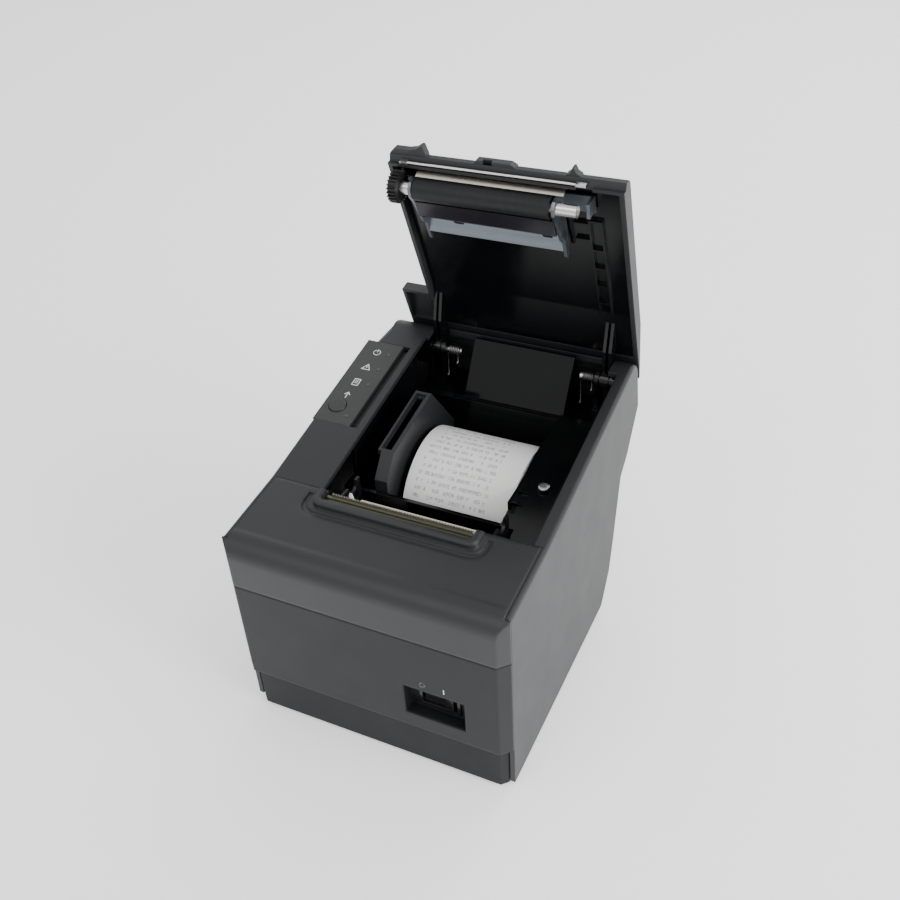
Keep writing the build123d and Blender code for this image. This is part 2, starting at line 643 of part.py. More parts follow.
with BuildPart() as mech_frame:
    plate_outline = [(FRAME_Y[0], FRAME_Z[0]), (FRAME_Y[1], FRAME_Z[0]), (FRAME_Y[1], FRAME_Z[1]),
                     (BLADE_STOP_Y, FRAME_Z[1]), (BLADE_STOP_Y, 104.0), (-44.6, 104.0), (-44.6, STEP_Z),
                     (FRAME_Y[0], STEP_Z)]
    for x in (FRAME_X[0], FRAME_X[1] - PLATE):
        prism(body_side, x, x + PLATE, plate_outline)
        rod(body_side, x - 1, x + PLATE + 1, PLATEN, BUSH_R + 0.35, Mode.SUBTRACT)
        throat = BUSH_R + 0.6
        low, high = (PLATEN[0] - throat, PLATEN[1]), (PLATEN[0] + throat, 120)
        bar(body_side, x - 1, x + PLATE + 1, low, high, Mode.SUBTRACT)
        rod(body_side, x - 1, x + PLATE + 1, PIVOT, AXLE_R, Mode.SUBTRACT)
    bar(body_side, FRAME_X[0], FRAME_X[1], (FRAME_Y[0], FRAME_Z[0]), (FRAME_Y[1], FRAME_Z[0] + PLATE))
    bar(body_side, FRAME_X[0], FRAME_X[1], (FRAME_Y[0], FRAME_Z[0]), (FRAME_Y[0] + PLATE, STEP_Z))
    rod(body_side, FRAME_X[0] - 1, FRAME_X[0] + PLATE + 1, PINION, 4.0, Mode.SUBTRACT)
    rod(body_side, FRAME_X[0] - 1, FRAME_X[0] + PLATE + 1, IDLER, AXLE_R, Mode.SUBTRACT)
    for x in (FRAME_X[0] + 6, FRAME_X[1] - 4):
        with Locations((x, (FRAME_Y[0] + FRAME_Y[1]) / 2, (FRAME_Z[0] + BOARD_TOP) / 2)):
            Box(5, 5, FRAME_Z[0] - BOARD_TOP)
save(mech_frame, "mechanism_frame")

with BuildPart() as idler_axle:
    rod(body_side, GEAR_X[0] - 1.6, FRAME_X[0] + PLATE, IDLER, AXLE_R)
    rod(body_side, GEAR_X[0] - 1.6, GEAR_X[0] - 0.4, IDLER, AXLE_R + 1.2)
save(idler_axle, "idler_axle")


def towards(start, end):
    """Angle in the side view of the line from start to end."""
    return degrees(atan2(end[1] - start[1], end[0] - start[0]))


def half_pitch(teeth):
    """Half of one tooth's share of the circle."""
    return 180 / teeth


# a tooth of each smaller or driven gear points into a gap of its neighbour
IDLER_PHASE = towards(IDLER, PLATEN)
PLATEN_PHASE = towards(PLATEN, IDLER) + half_pitch(PLATEN_TEETH)
idler_step = 2 * half_pitch(IDLER_TEETH)
to_pinion = towards(IDLER, PINION)
idler_shift = (to_pinion - IDLER_PHASE) % idler_step / idler_step
PINION_PHASE = towards(PINION, IDLER) + (idler_shift + 0.5) * 2 * half_pitch(PINION_TEETH)

with BuildPart() as idler_gear:
    gear(body_side, GEAR_X[0], GEAR_X[1], IDLER, IDLER_TEETH, AXLE_R + RUN_FIT, IDLER_PHASE)
save(idler_gear, "idler_gear")

with BuildPart() as motor_pinion:
    gear(body_side, GEAR_X[0], GEAR_X[1], PINION, PINION_TEETH, MOTOR_SHAFT_R, PINION_PHASE)
save(motor_pinion, "motor_pinion")

with BuildPart() as motor_shaft:
    rod(body_side, GEAR_X[0] - 1, -20.0, PINION, MOTOR_SHAFT_R)
save(motor_shaft, "motor_shaft")

with BuildPart() as feed_motor:
    rod(body_side, FRAME_X[0] + PLATE, -15.0, PINION, MOTOR_R)
    rod(body_side, FRAME_X[0], -19.5, PINION, MOTOR_SHAFT_R + RUN_FIT, Mode.SUBTRACT)
save(feed_motor, "feed_motor")

HEAD_X = (-24.5, 40.0)

with BuildPart() as print_head:
    bar(body_side, HEAD_X[0], HEAD_X[1], (HEAD_Y - 1.0, 103.0), (HEAD_Y, 112.6))
    bar(body_side, HEAD_X[0] + 2, HEAD_X[1] - 2, (HEAD_Y, 111.0), (HEAD_Y + 0.25, 112.0))
save(print_head, "print_head")

with BuildPart() as heat_sink:
    bar(body_side, HEAD_X[0] - 1.5, HEAD_X[1] + 1.5, (HEAD_Y - 3.2, 98.0), (HEAD_Y - 1.0, 112.4))
    boss = [(PIVOT[0] - 2.4, PIVOT[1] - 2.4), (PIVOT[0] + 2.4, PIVOT[1] + 2.4)]
    bar(body_side, HEAD_X[0] - 1.5, HEAD_X[1] + 1.5, *boss)
    rod(body_side, HEAD_X[0] - 3, HEAD_X[1] + 3, PIVOT, AXLE_R + RUN_FIT, Mode.SUBTRACT)
save(heat_sink, "head_heat_sink")

with BuildPart() as head_pivot:
    rod(body_side, FRAME_X[0] - 0.8, FRAME_X[1] + 0.8, PIVOT, AXLE_R)
save(head_pivot, "head_pivot_rod")

# ---- cutter in the body -------------------------------------------------------------------------------

CUT_Z = 113.2  # underside of the moving blade
BLADE_T = 0.8
BLADE_HALF = 37.0
GUIDE_HALF = EXIT_W / 2 - 0.4
GUIDE_REAR = -45.4
GUIDE_FRONT = EXIT_FRONT + 0.4
STEPS = 4

with BuildPart() as cutter_guide:
    run = (GUIDE_REAR - GUIDE_FRONT) / STEPS
    outline = [(GUIDE_REAR, 106.5), (GUIDE_FRONT, 106.5)]
    for i in range(STEPS):
        level = 113.6 + 0.85 * i
        outline += [(GUIDE_FRONT + i * run, level), (GUIDE_FRONT + (i + 1) * run, level)]
    prism(body_side, -GUIDE_HALF, GUIDE_HALF, outline)
    slot_half = BLADE_HALF + 0.4
    slot_top = CUT_Z + BLADE_T + 0.35
    bar(body_side, -slot_half, slot_half, (-51.2, 107.7), (-46.0, slot_top), Mode.SUBTRACT)
    bar(body_side, -slot_half, slot_half, (-47.0, CUT_Z - 0.3), (-45.0, slot_top), Mode.SUBTRACT)
save(cutter_guide, "cutter_guide")

with BuildPart() as moving_blade:
    bar(body_side, -BLADE_HALF, BLADE_HALF, (-50.8, CUT_Z), (-45.6, CUT_Z + BLADE_T))
    bar(body_side, -BLADE_HALF + 6, BLADE_HALF - 6, (-50.8, 108.2), (-50.0, CUT_Z))
save(moving_blade, "moving_blade")

TEETH = 50
TOOTH = 2 * BLADE_HALF / TEETH

with BuildPart() as tear_bar:
    edge = []
    for i in range(TEETH):
        left = -BLADE_HALF + i * TOOTH
        edge += [(left, 116.6), (left + TOOTH / 2, 117.7)]
    with BuildSketch(Plane.XZ.offset(-GUIDE_REAR)):
        with BuildLine():
            Polyline(*edge, (BLADE_HALF, 116.6), (BLADE_HALF, 114.8), (-BLADE_HALF, 114.8), close=True)
        make_face()
    extrude(amount=-0.8)
save(tear_bar, "tear_bar")

with BuildPart() as cutter_box:
    bar(body_side, -30.0, 44.0, (-79.0, 99.0), (-53.0, 109.6))
    bar(body_side, -28.5, 42.5, (-77.5, 98.0), (-54.5, 108.1), Mode.SUBTRACT)
save(cutter_box, "cutter_housing")

with BuildPart() as cutter_motor:
    rod(body_side, -56.0, -30.2, (-66.0, 99.5), 9.5)
save(cutter_motor, "cutter_motor")

with BuildPart() as cover_lever:
    prism(body_side, -29.8, -28.4, [(-41.9, 104), (-40.0, 104), (-39.6, 113), (-40.6, 116.6), (-41.9, 114.6)])
save(cover_lever, "cover_sensor_lever")

# ---- controls ---------------------------------------------------------------------------------------------

PANEL_T = 2.4
BUTTON_DROP = 4.8  # depth of the button's foot below the panel's face
BUTTON_TRAVEL = 1.0
LIGHTS = [(-56.0, 52.5), (-56.0, 40.5), (-56.0, 28.5), (-56.0, 4.5)]
BOARD_DROP = 8.5


def deck_disc(x, y, low, high, radius, mode=Mode.ADD):
    """A round piece square to the sloping deck, from low to high above it."""
    with BuildSketch(DECK.offset(low)) as disc:
        with Locations((x, on_deck(y))):
            Circle(radius)
    extrude(disc.sketch, amount=high - low, mode=mode)


with BuildPart() as control_panel:
    prism(body_side, -HALF_W, PANEL_RIGHT, under_top(PANEL_Y[0] + 0.2, PANEL_Y[1] - 0.2, -PANEL_T, 0))
    ends = (PANEL_Y[0] + 0.2, PANEL_Y[1] - 0.2)
    prism(body_side, PANEL_RIGHT - 1.4, GROOVE_X - 0.2, under_top(*ends, -4.6, -3.2))
    prism(body_side, PANEL_RIGHT - 1.4, PANEL_RIGHT, under_top(*ends, -4.6, -1))
    deck_disc(*BUTTON, -6, 2, BUTTON_R + 0.3, Mode.SUBTRACT)
    for x, y in LIGHTS:
        deck_disc(x, y, -4, 2, 1.1, Mode.SUBTRACT)
save(control_panel, "control_panel")

with BuildPart() as feed_button:
    deck_disc(*BUTTON, -BUTTON_DROP, 0.6, BUTTON_R)
    deck_disc(*BUTTON, -PANEL_T - 1.5, -PANEL_T - 0.3, BUTTON_R + 1.0)
    fillet(feed_button.edges().filter_by(GeomType.CIRCLE).sort_by(Axis.Z)[-1], radius=0.5)
save(feed_button, "feed_button")

with BuildPart() as lights:
    for x, y in LIGHTS:
        deck_disc(x, y, -BOARD_DROP + 0.9, 0.15, 1.05)
save(lights, "indicator_lights")

with BuildPart() as button_board:
    prism(body_side, -69.0, -53.0, under_top(0, 56, -BOARD_DROP - 1.6 * 1.016, -BOARD_DROP))
    deck_disc(*BUTTON, -BOARD_DROP + 0.1, -BUTTON_DROP - BUTTON_TRAVEL - 0.3, 2.2)
save(button_board, "button_board")

ROCKER_Y = -82.6
ROCKER_TILT = 8.0
ROCKER_PIN_R = 1.2

with BuildPart() as switch_body:
    front_box(SWITCH_W, SWITCH_H, RECESS_Y - 1.4, RECESS_Y)
    front_box(SWITCH_W - 2.0, SWITCH_H - 2.0, RECESS_Y, RECESS_Y + 14)
    front_box(17.8, 10.8, RECESS_Y - 2, RECESS_Y + 8.5, Mode.SUBTRACT)
    for x in (-6, 6):
        with Locations((SWITCH[0] + x, RECESS_Y + 14 + 3, SWITCH[1])):
            Box(0.8, 6, 5)
    post(SWITCH[0], ROCKER_Y, SWITCH[1] - 6.2, SWITCH[1] + 6.2, ROCKER_PIN_R + RUN_FIT, Mode.SUBTRACT)
save(switch_body, "power_switch_body")

with BuildPart() as rocker:
    face = [(-8, -3.6), (0, -2.6), (8, -3.6), (8, -1.0), (2.4, 2.6), (-2.4, 2.6), (-8, -1.0)]
    with BuildSketch(Plane.XY.offset(SWITCH[1] - 5.1)):
        with Locations(Location((SWITCH[0], ROCKER_Y, 0), (0, 0, -ROCKER_TILT))):
            Polygon(*face, align=None)
    extrude(amount=10.2)
    post(SWITCH[0], ROCKER_Y, SWITCH[1] - 6.1, SWITCH[1] + 6.1, ROCKER_PIN_R)
save(rocker, "power_rocker")

# ---- lid, drawn shut and turned up by lid_side() ---------------------------------------------------------

LID_FRONT = CAP_REAR + 0.5
LID_REAR = about_hinge(13.2, 67)
LID_IN = about_hinge(BARREL_R + LID_GAP + 0.5, 67)
LID_MID = about_hinge(BARREL_R + LID_GAP, 80)
LID_TOP_IN = about_hinge(BARREL_R + LID_GAP, 90 + BODY_SLOPE)


def lid_shell(x0, x1, front, nose):
    """The lid's outer block from x0 to x1; its front edge overhangs by nose."""
    with BuildSketch(lid_side(x0)) as profile:
        with BuildLine():
            Polyline(
                LID_TOP_IN,
                (front, top_z(front) + LID_GAP),
                (front, top_z(front) + 3.0),
                (front - nose, top_z(front) + 4.2),
                (front - nose, top_z(front) + LID_T - 2),
                (front - nose + 2.0, top_z(front) + LID_T),
                (LID_PEAK + 4, top_z(LID_PEAK) + LID_T),
                LID_REAR,
                LID_IN,
            )
            ThreePointArc(LID_IN, LID_MID, LID_TOP_IN)
        make_face()
    extrude(profile.sketch, amount=x1 - x0)


FRONT_Z = top_z(LID_FRONT)  # casing top below the lid's front edge
NOSE = 3.0  # overhang of the lid's front edge


def front_fin(outline):
    """A raised edge on the lid's nose, from (x, reach) points seen from above."""
    base = [(outline[-1][0], -1.5), (outline[0][0], -1.5)]
    plane = Plane(origin=(0, *turned(LID_FRONT - NOSE, FRONT_Z + 4.6)), x_dir=(1, 0, 0), z_dir=lid_side(0).y_dir)
    with BuildSketch(plane) as profile:
        with BuildLine():
            Polyline(*[(x, -reach) for x, reach in outline + base], close=True)
        make_face()
    extrude(profile.sketch, amount=LID_T - 5.4)


with BuildPart() as lid_cover:
    lid_shell(LID_LEFT, HALF_W, LID_FRONT, NOSE)
    lid_shell(WING_LEFT, LID_LEFT, WING_FRONT, 0)
    front_fin([(-42.8, 0.4), (-40.5, 2.4), (-33.5, 2.4), (-29.5, 3.2), (-26.6, 5.2), (-25.4, 5.2), (-24.0, 0.4)])
    front_fin([(0.0, 0.1), (1.5, 1.6), (18.0, 1.6), (20.5, 0.1)])
    front_fin([(44.5, 0.1), (46.6, 1.4), (47.5, 3.8), (48.5, 3.8), (49.4, 1.4), (51.5, 0.1)])
    skin = LID_T - LID_SKIN
    inner_front = LID_FRONT + 1.5
    cavity = [(inner_front, 110), (inner_front, top_z(LID_FRONT) + skin)]
    cavity += [(LID_PEAK, top_z(LID_PEAK) + skin), (68.5, 139.4), (68.5, 120)]
    prism(lid_side, LID_LEFT + 2.2, HALF_W - 2.5, cavity, Mode.SUBTRACT)
    wing = [(WING_FRONT + 1.8, 120), (WING_FRONT + 1.8, 139.8), (68.5, 138.9), (68.5, 120)]
    prism(lid_side, WING_LEFT + 1.8, LID_LEFT - 1.0, wing, Mode.SUBTRACT)
    # window in the centre tab and a notch at the right
    bar(lid_side, 4.5, 9.0, (-49, FRONT_Z + 4.4), (LID_FRONT + 1.0, FRONT_Z + 6.4), Mode.SUBTRACT)
    bar(lid_side, 50.0, 58.0, (-44, 116), (LID_FRONT + 3, FRONT_Z + 2.6), Mode.SUBTRACT)
save(lid_cover, "lid_cover")

LINER_X = (LID_LEFT + 2.6, HALF_W - 2.9)
LINER_LOW = 4.2
LINER_T = 1.6
LINER_BEND = 40.0
LINER_END = (68.0, 137.6)

with BuildPart() as lid_liner:
    flat = under_top(-39.0, LINER_BEND, LINER_LOW, LINER_LOW + LINER_T)
    tail = [(LINER_BEND, top_z(LINER_BEND) + LINER_LOW), LINER_END, (LINER_END[0], LINER_END[1] + LINER_T),
            (LINER_BEND, top_z(LINER_BEND) + LINER_LOW + LINER_T)]
    prism(lid_side, LINER_X[0], LINER_X[1], flat)
    prism(lid_side, LINER_X[0], LINER_X[1], tail)
    # ladder of stiffening ribs on the right
    for x in (53.2, 59.2):
        prism(lid_side, x, x + 0.9, under_top(-22, LINER_BEND, 2.4, LINER_LOW))
    for y in (-22, -4, 8, 20, 32):
        prism(lid_side, 53.2, 60.1, under_top(y, y + 0.9, 2.4, LINER_LOW))
    for y in (-20, -10):
        prism(lid_side, 46.0, 53.2, under_top(y, y + 0.9, 2.4, LINER_LOW))
    # bosses for the platen bracket
    for x in (-20.0, 35.0):
        prism(lid_side, x - 3, x + 3, under_top(-20, -14, 3.0, LINER_LOW))
    # hinge arms, each two ribs on a round knuckle
    arm_side = [(46, top_z(46) + 4.0), (67, 137.8), (67, top_z(67) + 0.3), (72, top_z(72) - 0.6)]
    arm_side += [about_hinge(5, 75), about_hinge(5, 170), (62, 130.0)]
    for arm_left, arm_right in ARMS:
        for x in (arm_left, arm_right - 1.6):
            prism(lid_side, x, x + 1.6, arm_side)
        rod(lid_side, arm_left, arm_right, HINGE, 5.0)
        rod(lid_side, arm_left - 1, arm_right + 1, HINGE, PIN_R + RUN_FIT, Mode.SUBTRACT)
save(lid_liner, "lid_liner")

# ---- platen unit on the lid ------------------------------------------------------------------------------

BRACKET_LOW = 1.7
BRACKET_T = 1.2
BRACKET_FRONT = -37.4
CHEEKS = [(-30.0, -28.5), (41.2, 42.7)]
LEG_END = 1.5

with BuildPart() as platen_bracket:
    plate = under_top(BRACKET_FRONT, -12.0, BRACKET_LOW, BRACKET_LOW + BRACKET_T)
    prism(lid_side, CHEEKS[0][0], 58.0, plate)
    prism(lid_side, CHEEKS[1][1], 60.0, under_top(-28, 0, -5, 8), Mode.SUBTRACT)
    cheek = [
        (BRACKET_FRONT, top_z(BRACKET_FRONT) + BRACKET_LOW + 0.4),
        (BRACKET_FRONT, 112.0),
        (-35.0, 109.6),
        (-31.0, 109.6),
        (-27.0, 112.0),
        (-13.0, 117.6),
        (-9.5, 120.7),
        (LEG_END - 2, top_z(LEG_END) - 2.4),
        (LEG_END, top_z(LEG_END) - 1.4),
        (LEG_END - 2, top_z(LEG_END) + 0.3),
        (-12.5, top_z(-12.5) + BRACKET_LOW + 0.5),
    ]
    # strip bent down between the legs
    bend = top_z(-13.0) + BRACKET_LOW
    strip = [(-13.6, bend), (-12.4, bend + 1.2), (-3.6, 122.5), (-4.2, 121.6)]
    prism(lid_side, CHEEKS[0][1], CHEEKS[1][0], strip)
    for left, right in CHEEKS:
        prism(lid_side, left, right, cheek)
        rod(lid_side, left - 1, right + 1, PLATEN, SHAFT_R + RUN_FIT, Mode.SUBTRACT)
    ear_top = top_z(BRACKET_FRONT) + BRACKET_LOW + 0.6
    bar(lid_side, 56.5, 58.0, (BRACKET_FRONT, 113.5), (-30.0, ear_top))
save(platen_bracket, "platen_bracket")

with BuildPart() as platen_roller:
    rod(lid_side, PLATEN_X[0], PLATEN_X[1], PLATEN, PLATEN_R)
    rod(lid_side, PLATEN_X[0] - 1, PLATEN_X[1] + 1, PLATEN, SHAFT_R, Mode.SUBTRACT)
save(platen_roller, "platen_roller")

with BuildPart() as platen_shaft:
    rod(lid_side, GEAR_X[0] - 1.5, 51.6, PLATEN, SHAFT_R)
save(platen_shaft, "platen_shaft")

with BuildPart() as platen_gear:
    gear(lid_side, GEAR_X[0], GEAR_X[1], PLATEN, PLATEN_TEETH, SHAFT_R, PLATEN_PHASE)
save(platen_gear, "platen_gear")

BUSHES = [("left", -34.4, -30.1), ("right", 42.8, 52.4)]
for side_name, x0, x1 in BUSHES:
    with BuildPart() as bush:
        rod(lid_side, x0, x1, PLATEN, BUSH_R)
        rod(lid_side, x0 - 1, x1 + 1, PLATEN, SHAFT_R + RUN_FIT, Mode.SUBTRACT)
    save(bush, f"platen_bush_{side_name}")

GUIDE_X = (-28.2, 40.9)

with BuildPart() as paper_guide:
    section = [(-27.2, 111.6), (-18.6, 113.2), (-16.8, 115.0), (-17.4, 118.6), (-26.4, 119.6)]
    prism(lid_side, GUIDE_X[0], GUIDE_X[1], section)
    for x in (-9.0, 36.0):
        prism(lid_side, x - 2.2, x + 2.2, [(-17.5, 114.6), (-14.6, 116.6), (-14.6, 119.4), (-17.5, 118.4)])
    prism(lid_side, GUIDE_X[0] + 6, GUIDE_X[1] - 6, under_top(-24, -19, -1.2, BRACKET_LOW))
save(paper_guide, "paper_guide")

BLADE_TOP = (-40.3, 120.6)
BLADE_LOW = (-38.4, 115.8)
BLADE_X = (-28.2, 45.0)
BLADE_T2 = 0.8  # thickness of the fixed blade
NOTCHES = (-17.0, -4.0, 9.0, 22.0, 35.0)  # notches along its upper edge

with BuildPart() as fixed_blade:
    back_low = (BLADE_LOW[0] + BLADE_T2, BLADE_LOW[1] + 0.4)
    back_top = (BLADE_TOP[0] + BLADE_T2, BLADE_TOP[1] + 0.2)
    prism(lid_side, *BLADE_X, [BLADE_TOP, BLADE_LOW, back_low, back_top])
    fold = [(BLADE_TOP[0] + 1.0, 118.9), (-36.0, 118.7), (-36.0, 119.4), (BLADE_TOP[0] + 0.6, 119.6)]
    prism(lid_side, BLADE_X[0], 40.9, fold)
    for x in NOTCHES:
        bar(lid_side, x, x + 5.0, (-41, 119.7), (-39.0, 122), Mode.SUBTRACT)
save(fixed_blade, "fixed_blade")

with BuildPart() as wire_rod:
    rod(lid_side, -33.0, 51.0, (-43.35, 118.8), 0.65)
    # clips at its ends
    for x0, x1 in ((-36.5, -32.6), (50.2, 55.0)):
        bar(lid_side, x0, x1, (-44.2, 117.6), (-42.9, 120.0))
save(wire_rod, "wire_rod")

with BuildPart() as bracket_screws:
    for x in (-20.0, 35.0):
        prism(lid_side, x - 1.6, x + 1.6, under_top(-18.6, -15.4, BRACKET_LOW - 0.9, BRACKET_LOW))
save(bracket_screws, "bracket_screws")
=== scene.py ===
"""Looks of a desktop receipt printer with its lid open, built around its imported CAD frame."""

import json
import math

import bmesh
import bpy
from bpy.props import FloatProperty, FloatVectorProperty, PointerProperty
from mathutils import Matrix, Vector


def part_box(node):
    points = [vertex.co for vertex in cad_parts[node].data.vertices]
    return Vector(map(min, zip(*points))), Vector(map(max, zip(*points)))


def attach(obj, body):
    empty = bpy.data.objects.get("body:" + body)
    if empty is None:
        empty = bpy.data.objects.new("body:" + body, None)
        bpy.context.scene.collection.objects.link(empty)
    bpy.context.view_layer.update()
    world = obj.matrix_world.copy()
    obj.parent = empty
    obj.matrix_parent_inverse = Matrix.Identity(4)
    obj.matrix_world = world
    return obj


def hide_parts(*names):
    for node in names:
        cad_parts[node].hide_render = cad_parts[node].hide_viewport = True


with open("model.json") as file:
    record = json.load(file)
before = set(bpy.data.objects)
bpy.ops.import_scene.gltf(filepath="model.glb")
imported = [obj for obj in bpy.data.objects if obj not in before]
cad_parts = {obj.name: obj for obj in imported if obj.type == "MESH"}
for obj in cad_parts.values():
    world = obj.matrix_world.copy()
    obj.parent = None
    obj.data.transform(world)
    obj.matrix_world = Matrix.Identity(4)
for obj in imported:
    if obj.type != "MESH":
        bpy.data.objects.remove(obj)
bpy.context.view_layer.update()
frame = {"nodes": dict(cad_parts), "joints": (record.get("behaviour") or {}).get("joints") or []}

bl_info = {
    "name": "Receipt Printer Looks",
    "version": (1, 0, 0),
    "blender": (4, 5, 0),
    "location": "View3D > Sidebar > Printer",
    "description": "Finishes and fine pieces of a desktop receipt printer",
    "category": "Object",
}

MM = 0.001
JOINTS = {joint["name"]: joint for joint in frame["joints"]}
HINGE = Vector(JOINTS["lid_hinge"]["pos_m"])
DECK_SLOPE = math.radians(10.1)


# ---- settings ----------------------------------------------------------------------------------


def color(name, description, value):
    """A colour setting."""
    return FloatVectorProperty(
        name=name, description=description, subtype="COLOR", size=3, min=0, max=1, default=value
    )


def length(name, description, value):
    """A length setting, in metres."""
    return FloatProperty(name=name, description=description, unit="LENGTH", default=value)


class PrinterColors(bpy.types.PropertyGroup):
    casing: color("Casing", "Textured casing plastic", (0.0095, 0.0105, 0.012))
    front: color("Front", "Front panel and top cap", (0.0105, 0.0118, 0.0135))
    inner: color("Inner", "Glossy plastic inside the lid and the well", (0.0022, 0.0025, 0.0032))
    panel: color("Panel", "Control panel", (0.022, 0.0235, 0.0235))
    # lighter than the well's black plastic: painted light for the light falling on the divider's face
    divider: color("Divider", "Paper divider", (0.016, 0.017, 0.019))
    paper: color("Paper", "Thermal paper", (0.86, 0.86, 0.85))
    zinc: color("Zinc", "Plated sheet steel", (0.15, 0.17, 0.19))
    steel: color("Steel", "Ground bright steel", (0.62, 0.61, 0.59))
    rubber: color("Roller", "Platen rubber", (0.006, 0.0065, 0.0075))
    mark: color("Marks", "Printed symbols on the controls", (0.92, 0.92, 0.90))


class PrinterSizes(bpy.types.PropertyGroup):
    casing_edge: length("Casing edge", "Rounding of the casing's edges", 0.6 * MM)
    cap_edge: length("Cap edge", "Rounding of the top cap's edges", 2.4 * MM)
    front_edge: length("Front edge", "Rounding of the front panel's edges", 1.8 * MM)
    spring_wire: length("Spring wire", "Radius of the hinge springs' wire", 0.5 * MM)
    symbol: length("Symbol", "Size of a symbol on the control panel", 4.8 * MM)
    lens: FloatProperty(name="Lens", description="Focal length", unit="CAMERA", default=42.56)


def colors():
    """The colour settings of the scene."""
    return bpy.context.scene.printer_colors


def sizes():
    """The size settings of the scene."""
    return bpy.context.scene.printer_sizes


# ---- materials ---------------------------------------------------------------------------------


class Recipe:
    """A node material on object coordinates, built up one layer at a time."""

    def __init__(self, name, base, rough, metal=0.0, edge=0.0, shine=0.5):
        self.mat = bpy.data.materials.new(name)
        self.mat.use_nodes = True
        self.tree = self.mat.node_tree
        self.tree.nodes.clear()
        self.out = self.node("ShaderNodeOutputMaterial")
        self.shader = self.node("ShaderNodeBsdfPrincipled")
        self.link(self.shader.outputs[0], self.out.inputs[0])
        self.shader.inputs["Base Color"].default_value = (*base, 1)
        self.shader.inputs["Roughness"].default_value = rough
        self.shader.inputs["Metallic"].default_value = metal
        self.shader.inputs["Specular IOR Level"].default_value = shine
        self.coords = self.node("ShaderNodeTexCoord").outputs["Object"]
        self.base = base
        self.rough = rough
        self.tint = None
        self.normal = None
        if edge:
            bevel = self.node("ShaderNodeBevel", samples=4)
            bevel.inputs["Radius"].default_value = edge
            self.normal = bevel.outputs[0]
            self.link(self.normal, self.shader.inputs["Normal"])

    def node(self, kind, **options):
        made = self.tree.nodes.new(kind)
        for key, value in options.items():
            setattr(made, key, value)
        return made

    def link(self, source, target):
        self.tree.links.new(source, target)

    def math(self, operation, a, b=None, c=None):
        """A math node on sockets or numbers; returns its output."""
        made = self.node("ShaderNodeMath", operation=operation)
        for socket, value in zip(made.inputs, (a, b, c)):
            if value is None:
                continue
            if isinstance(value, (int, float)):
                socket.default_value = value
            else:
                self.link(value, socket)
        return made.outputs[0]

    def spread(self, socket, low, high, to_low=0.0, to_high=1.0):
        """Maps a range of values onto another, clamped."""
        made = self.node("ShaderNodeMapRange")
        self.link(socket, made.inputs["Value"])
        limits = {"From Min": low, "From Max": high, "To Min": to_low, "To Max": to_high}
        for key, value in limits.items():
            made.inputs[key].default_value = value
        return made.outputs[0]

    def noise(self, size, stretch=(1, 1, 1), detail=2.0, rough=0.5, offset=(0, 0, 0)):
        """Noise whose features are about size across, longer along an axis whose stretch is small."""
        mapping = self.node("ShaderNodeMapping")
        self.link(self.coords, mapping.inputs["Vector"])
        mapping.inputs["Scale"].default_value = stretch
        mapping.inputs["Location"].default_value = offset
        made = self.node("ShaderNodeTexNoise")
        self.link(mapping.outputs[0], made.inputs["Vector"])
        made.inputs["Scale"].default_value = 1.0 / size
        made.inputs["Detail"].default_value = detail
        made.inputs["Roughness"].default_value = rough
        return made.outputs["Fac"]

    def bump(self, height, depth, strength=1.0):
        """Adds relief from a height of 0 to 1, depth metres deep."""
        made = self.node("ShaderNodeBump")
        made.inputs["Distance"].default_value = depth
        made.inputs["Strength"].default_value = strength
        self.link(height, made.inputs["Height"])
        if self.normal:
            self.link(self.normal, made.inputs["Normal"])
        self.normal = made.outputs[0]
        self.link(self.normal, self.shader.inputs["Normal"])

    def mix(self, factor, other):
        """Mixes the colour so far with another, by a factor from 0 to 1."""
        made = self.node("ShaderNodeMix", data_type="RGBA")
        self.link(factor, made.inputs["Factor"])
        if self.tint:
            self.link(self.tint, made.inputs["A"])
        else:
            made.inputs["A"].default_value = (*self.base, 1)
        made.inputs["B"].default_value = (*other, 1)
        self.tint = made.outputs["Result"]
        self.link(self.tint, self.shader.inputs["Base Color"])

    def vary_rough(self, factor, low, high):
        """Lets roughness follow a factor of 0 to 1."""
        self.link(self.spread(factor, 0.3, 0.7, low, high), self.shader.inputs["Roughness"])

    def worn_edges(self, radius, lighter, amount=0.6):
        """Lightens and brightens the edges, where hands and tools have rubbed them."""
        bevel = self.node("ShaderNodeBevel", samples=4)
        bevel.inputs["Radius"].default_value = radius
        geometry = self.node("ShaderNodeNewGeometry")
        dot = self.node("ShaderNodeVectorMath", operation="DOT_PRODUCT")
        self.link(bevel.outputs[0], dot.inputs[0])
        self.link(geometry.outputs["Normal"], dot.inputs[1])
        mask = self.spread(dot.outputs["Value"], 0.97, 0.75, 0.0, amount)
        broken = self.math("MULTIPLY", mask, self.spread(self.noise(2.5 * MM, detail=4), 0.35, 0.65))
        self.mix(broken, lighter)


def lighter(base, factor):
    """A colour scaled by a factor; below 1 it gets darker."""
    return tuple(min(1.0, c * factor) for c in base)


def moulded(name, base, rough, grain=0.45, depth=0.03, edge=0.5, wear=0.35, shine=0.5):
    """Moulded plastic with a fine spark-eroded texture, soft edges and slight handling marks."""
    r = Recipe(name, base, rough, edge=edge * MM, shine=shine)
    r.mix(r.spread(r.noise(28 * MM, detail=3), 0.35, 0.7, 0, 0.4), lighter(base, 1.15))
    r.mix(r.spread(r.noise(6 * MM, detail=5, offset=(3, 1, 2)), 0.58, 0.75, 0, 0.25), lighter(base, 1.4))
    if wear:
        r.worn_edges(0.5 * MM, lighter(base, 2.2), wear)
    r.vary_rough(r.noise(18 * MM, detail=4, offset=(7, 2, 5)), rough - 0.015, rough + 0.025)
    r.bump(r.noise(grain * MM, detail=3, rough=0.65), depth * MM)
    return r.mat


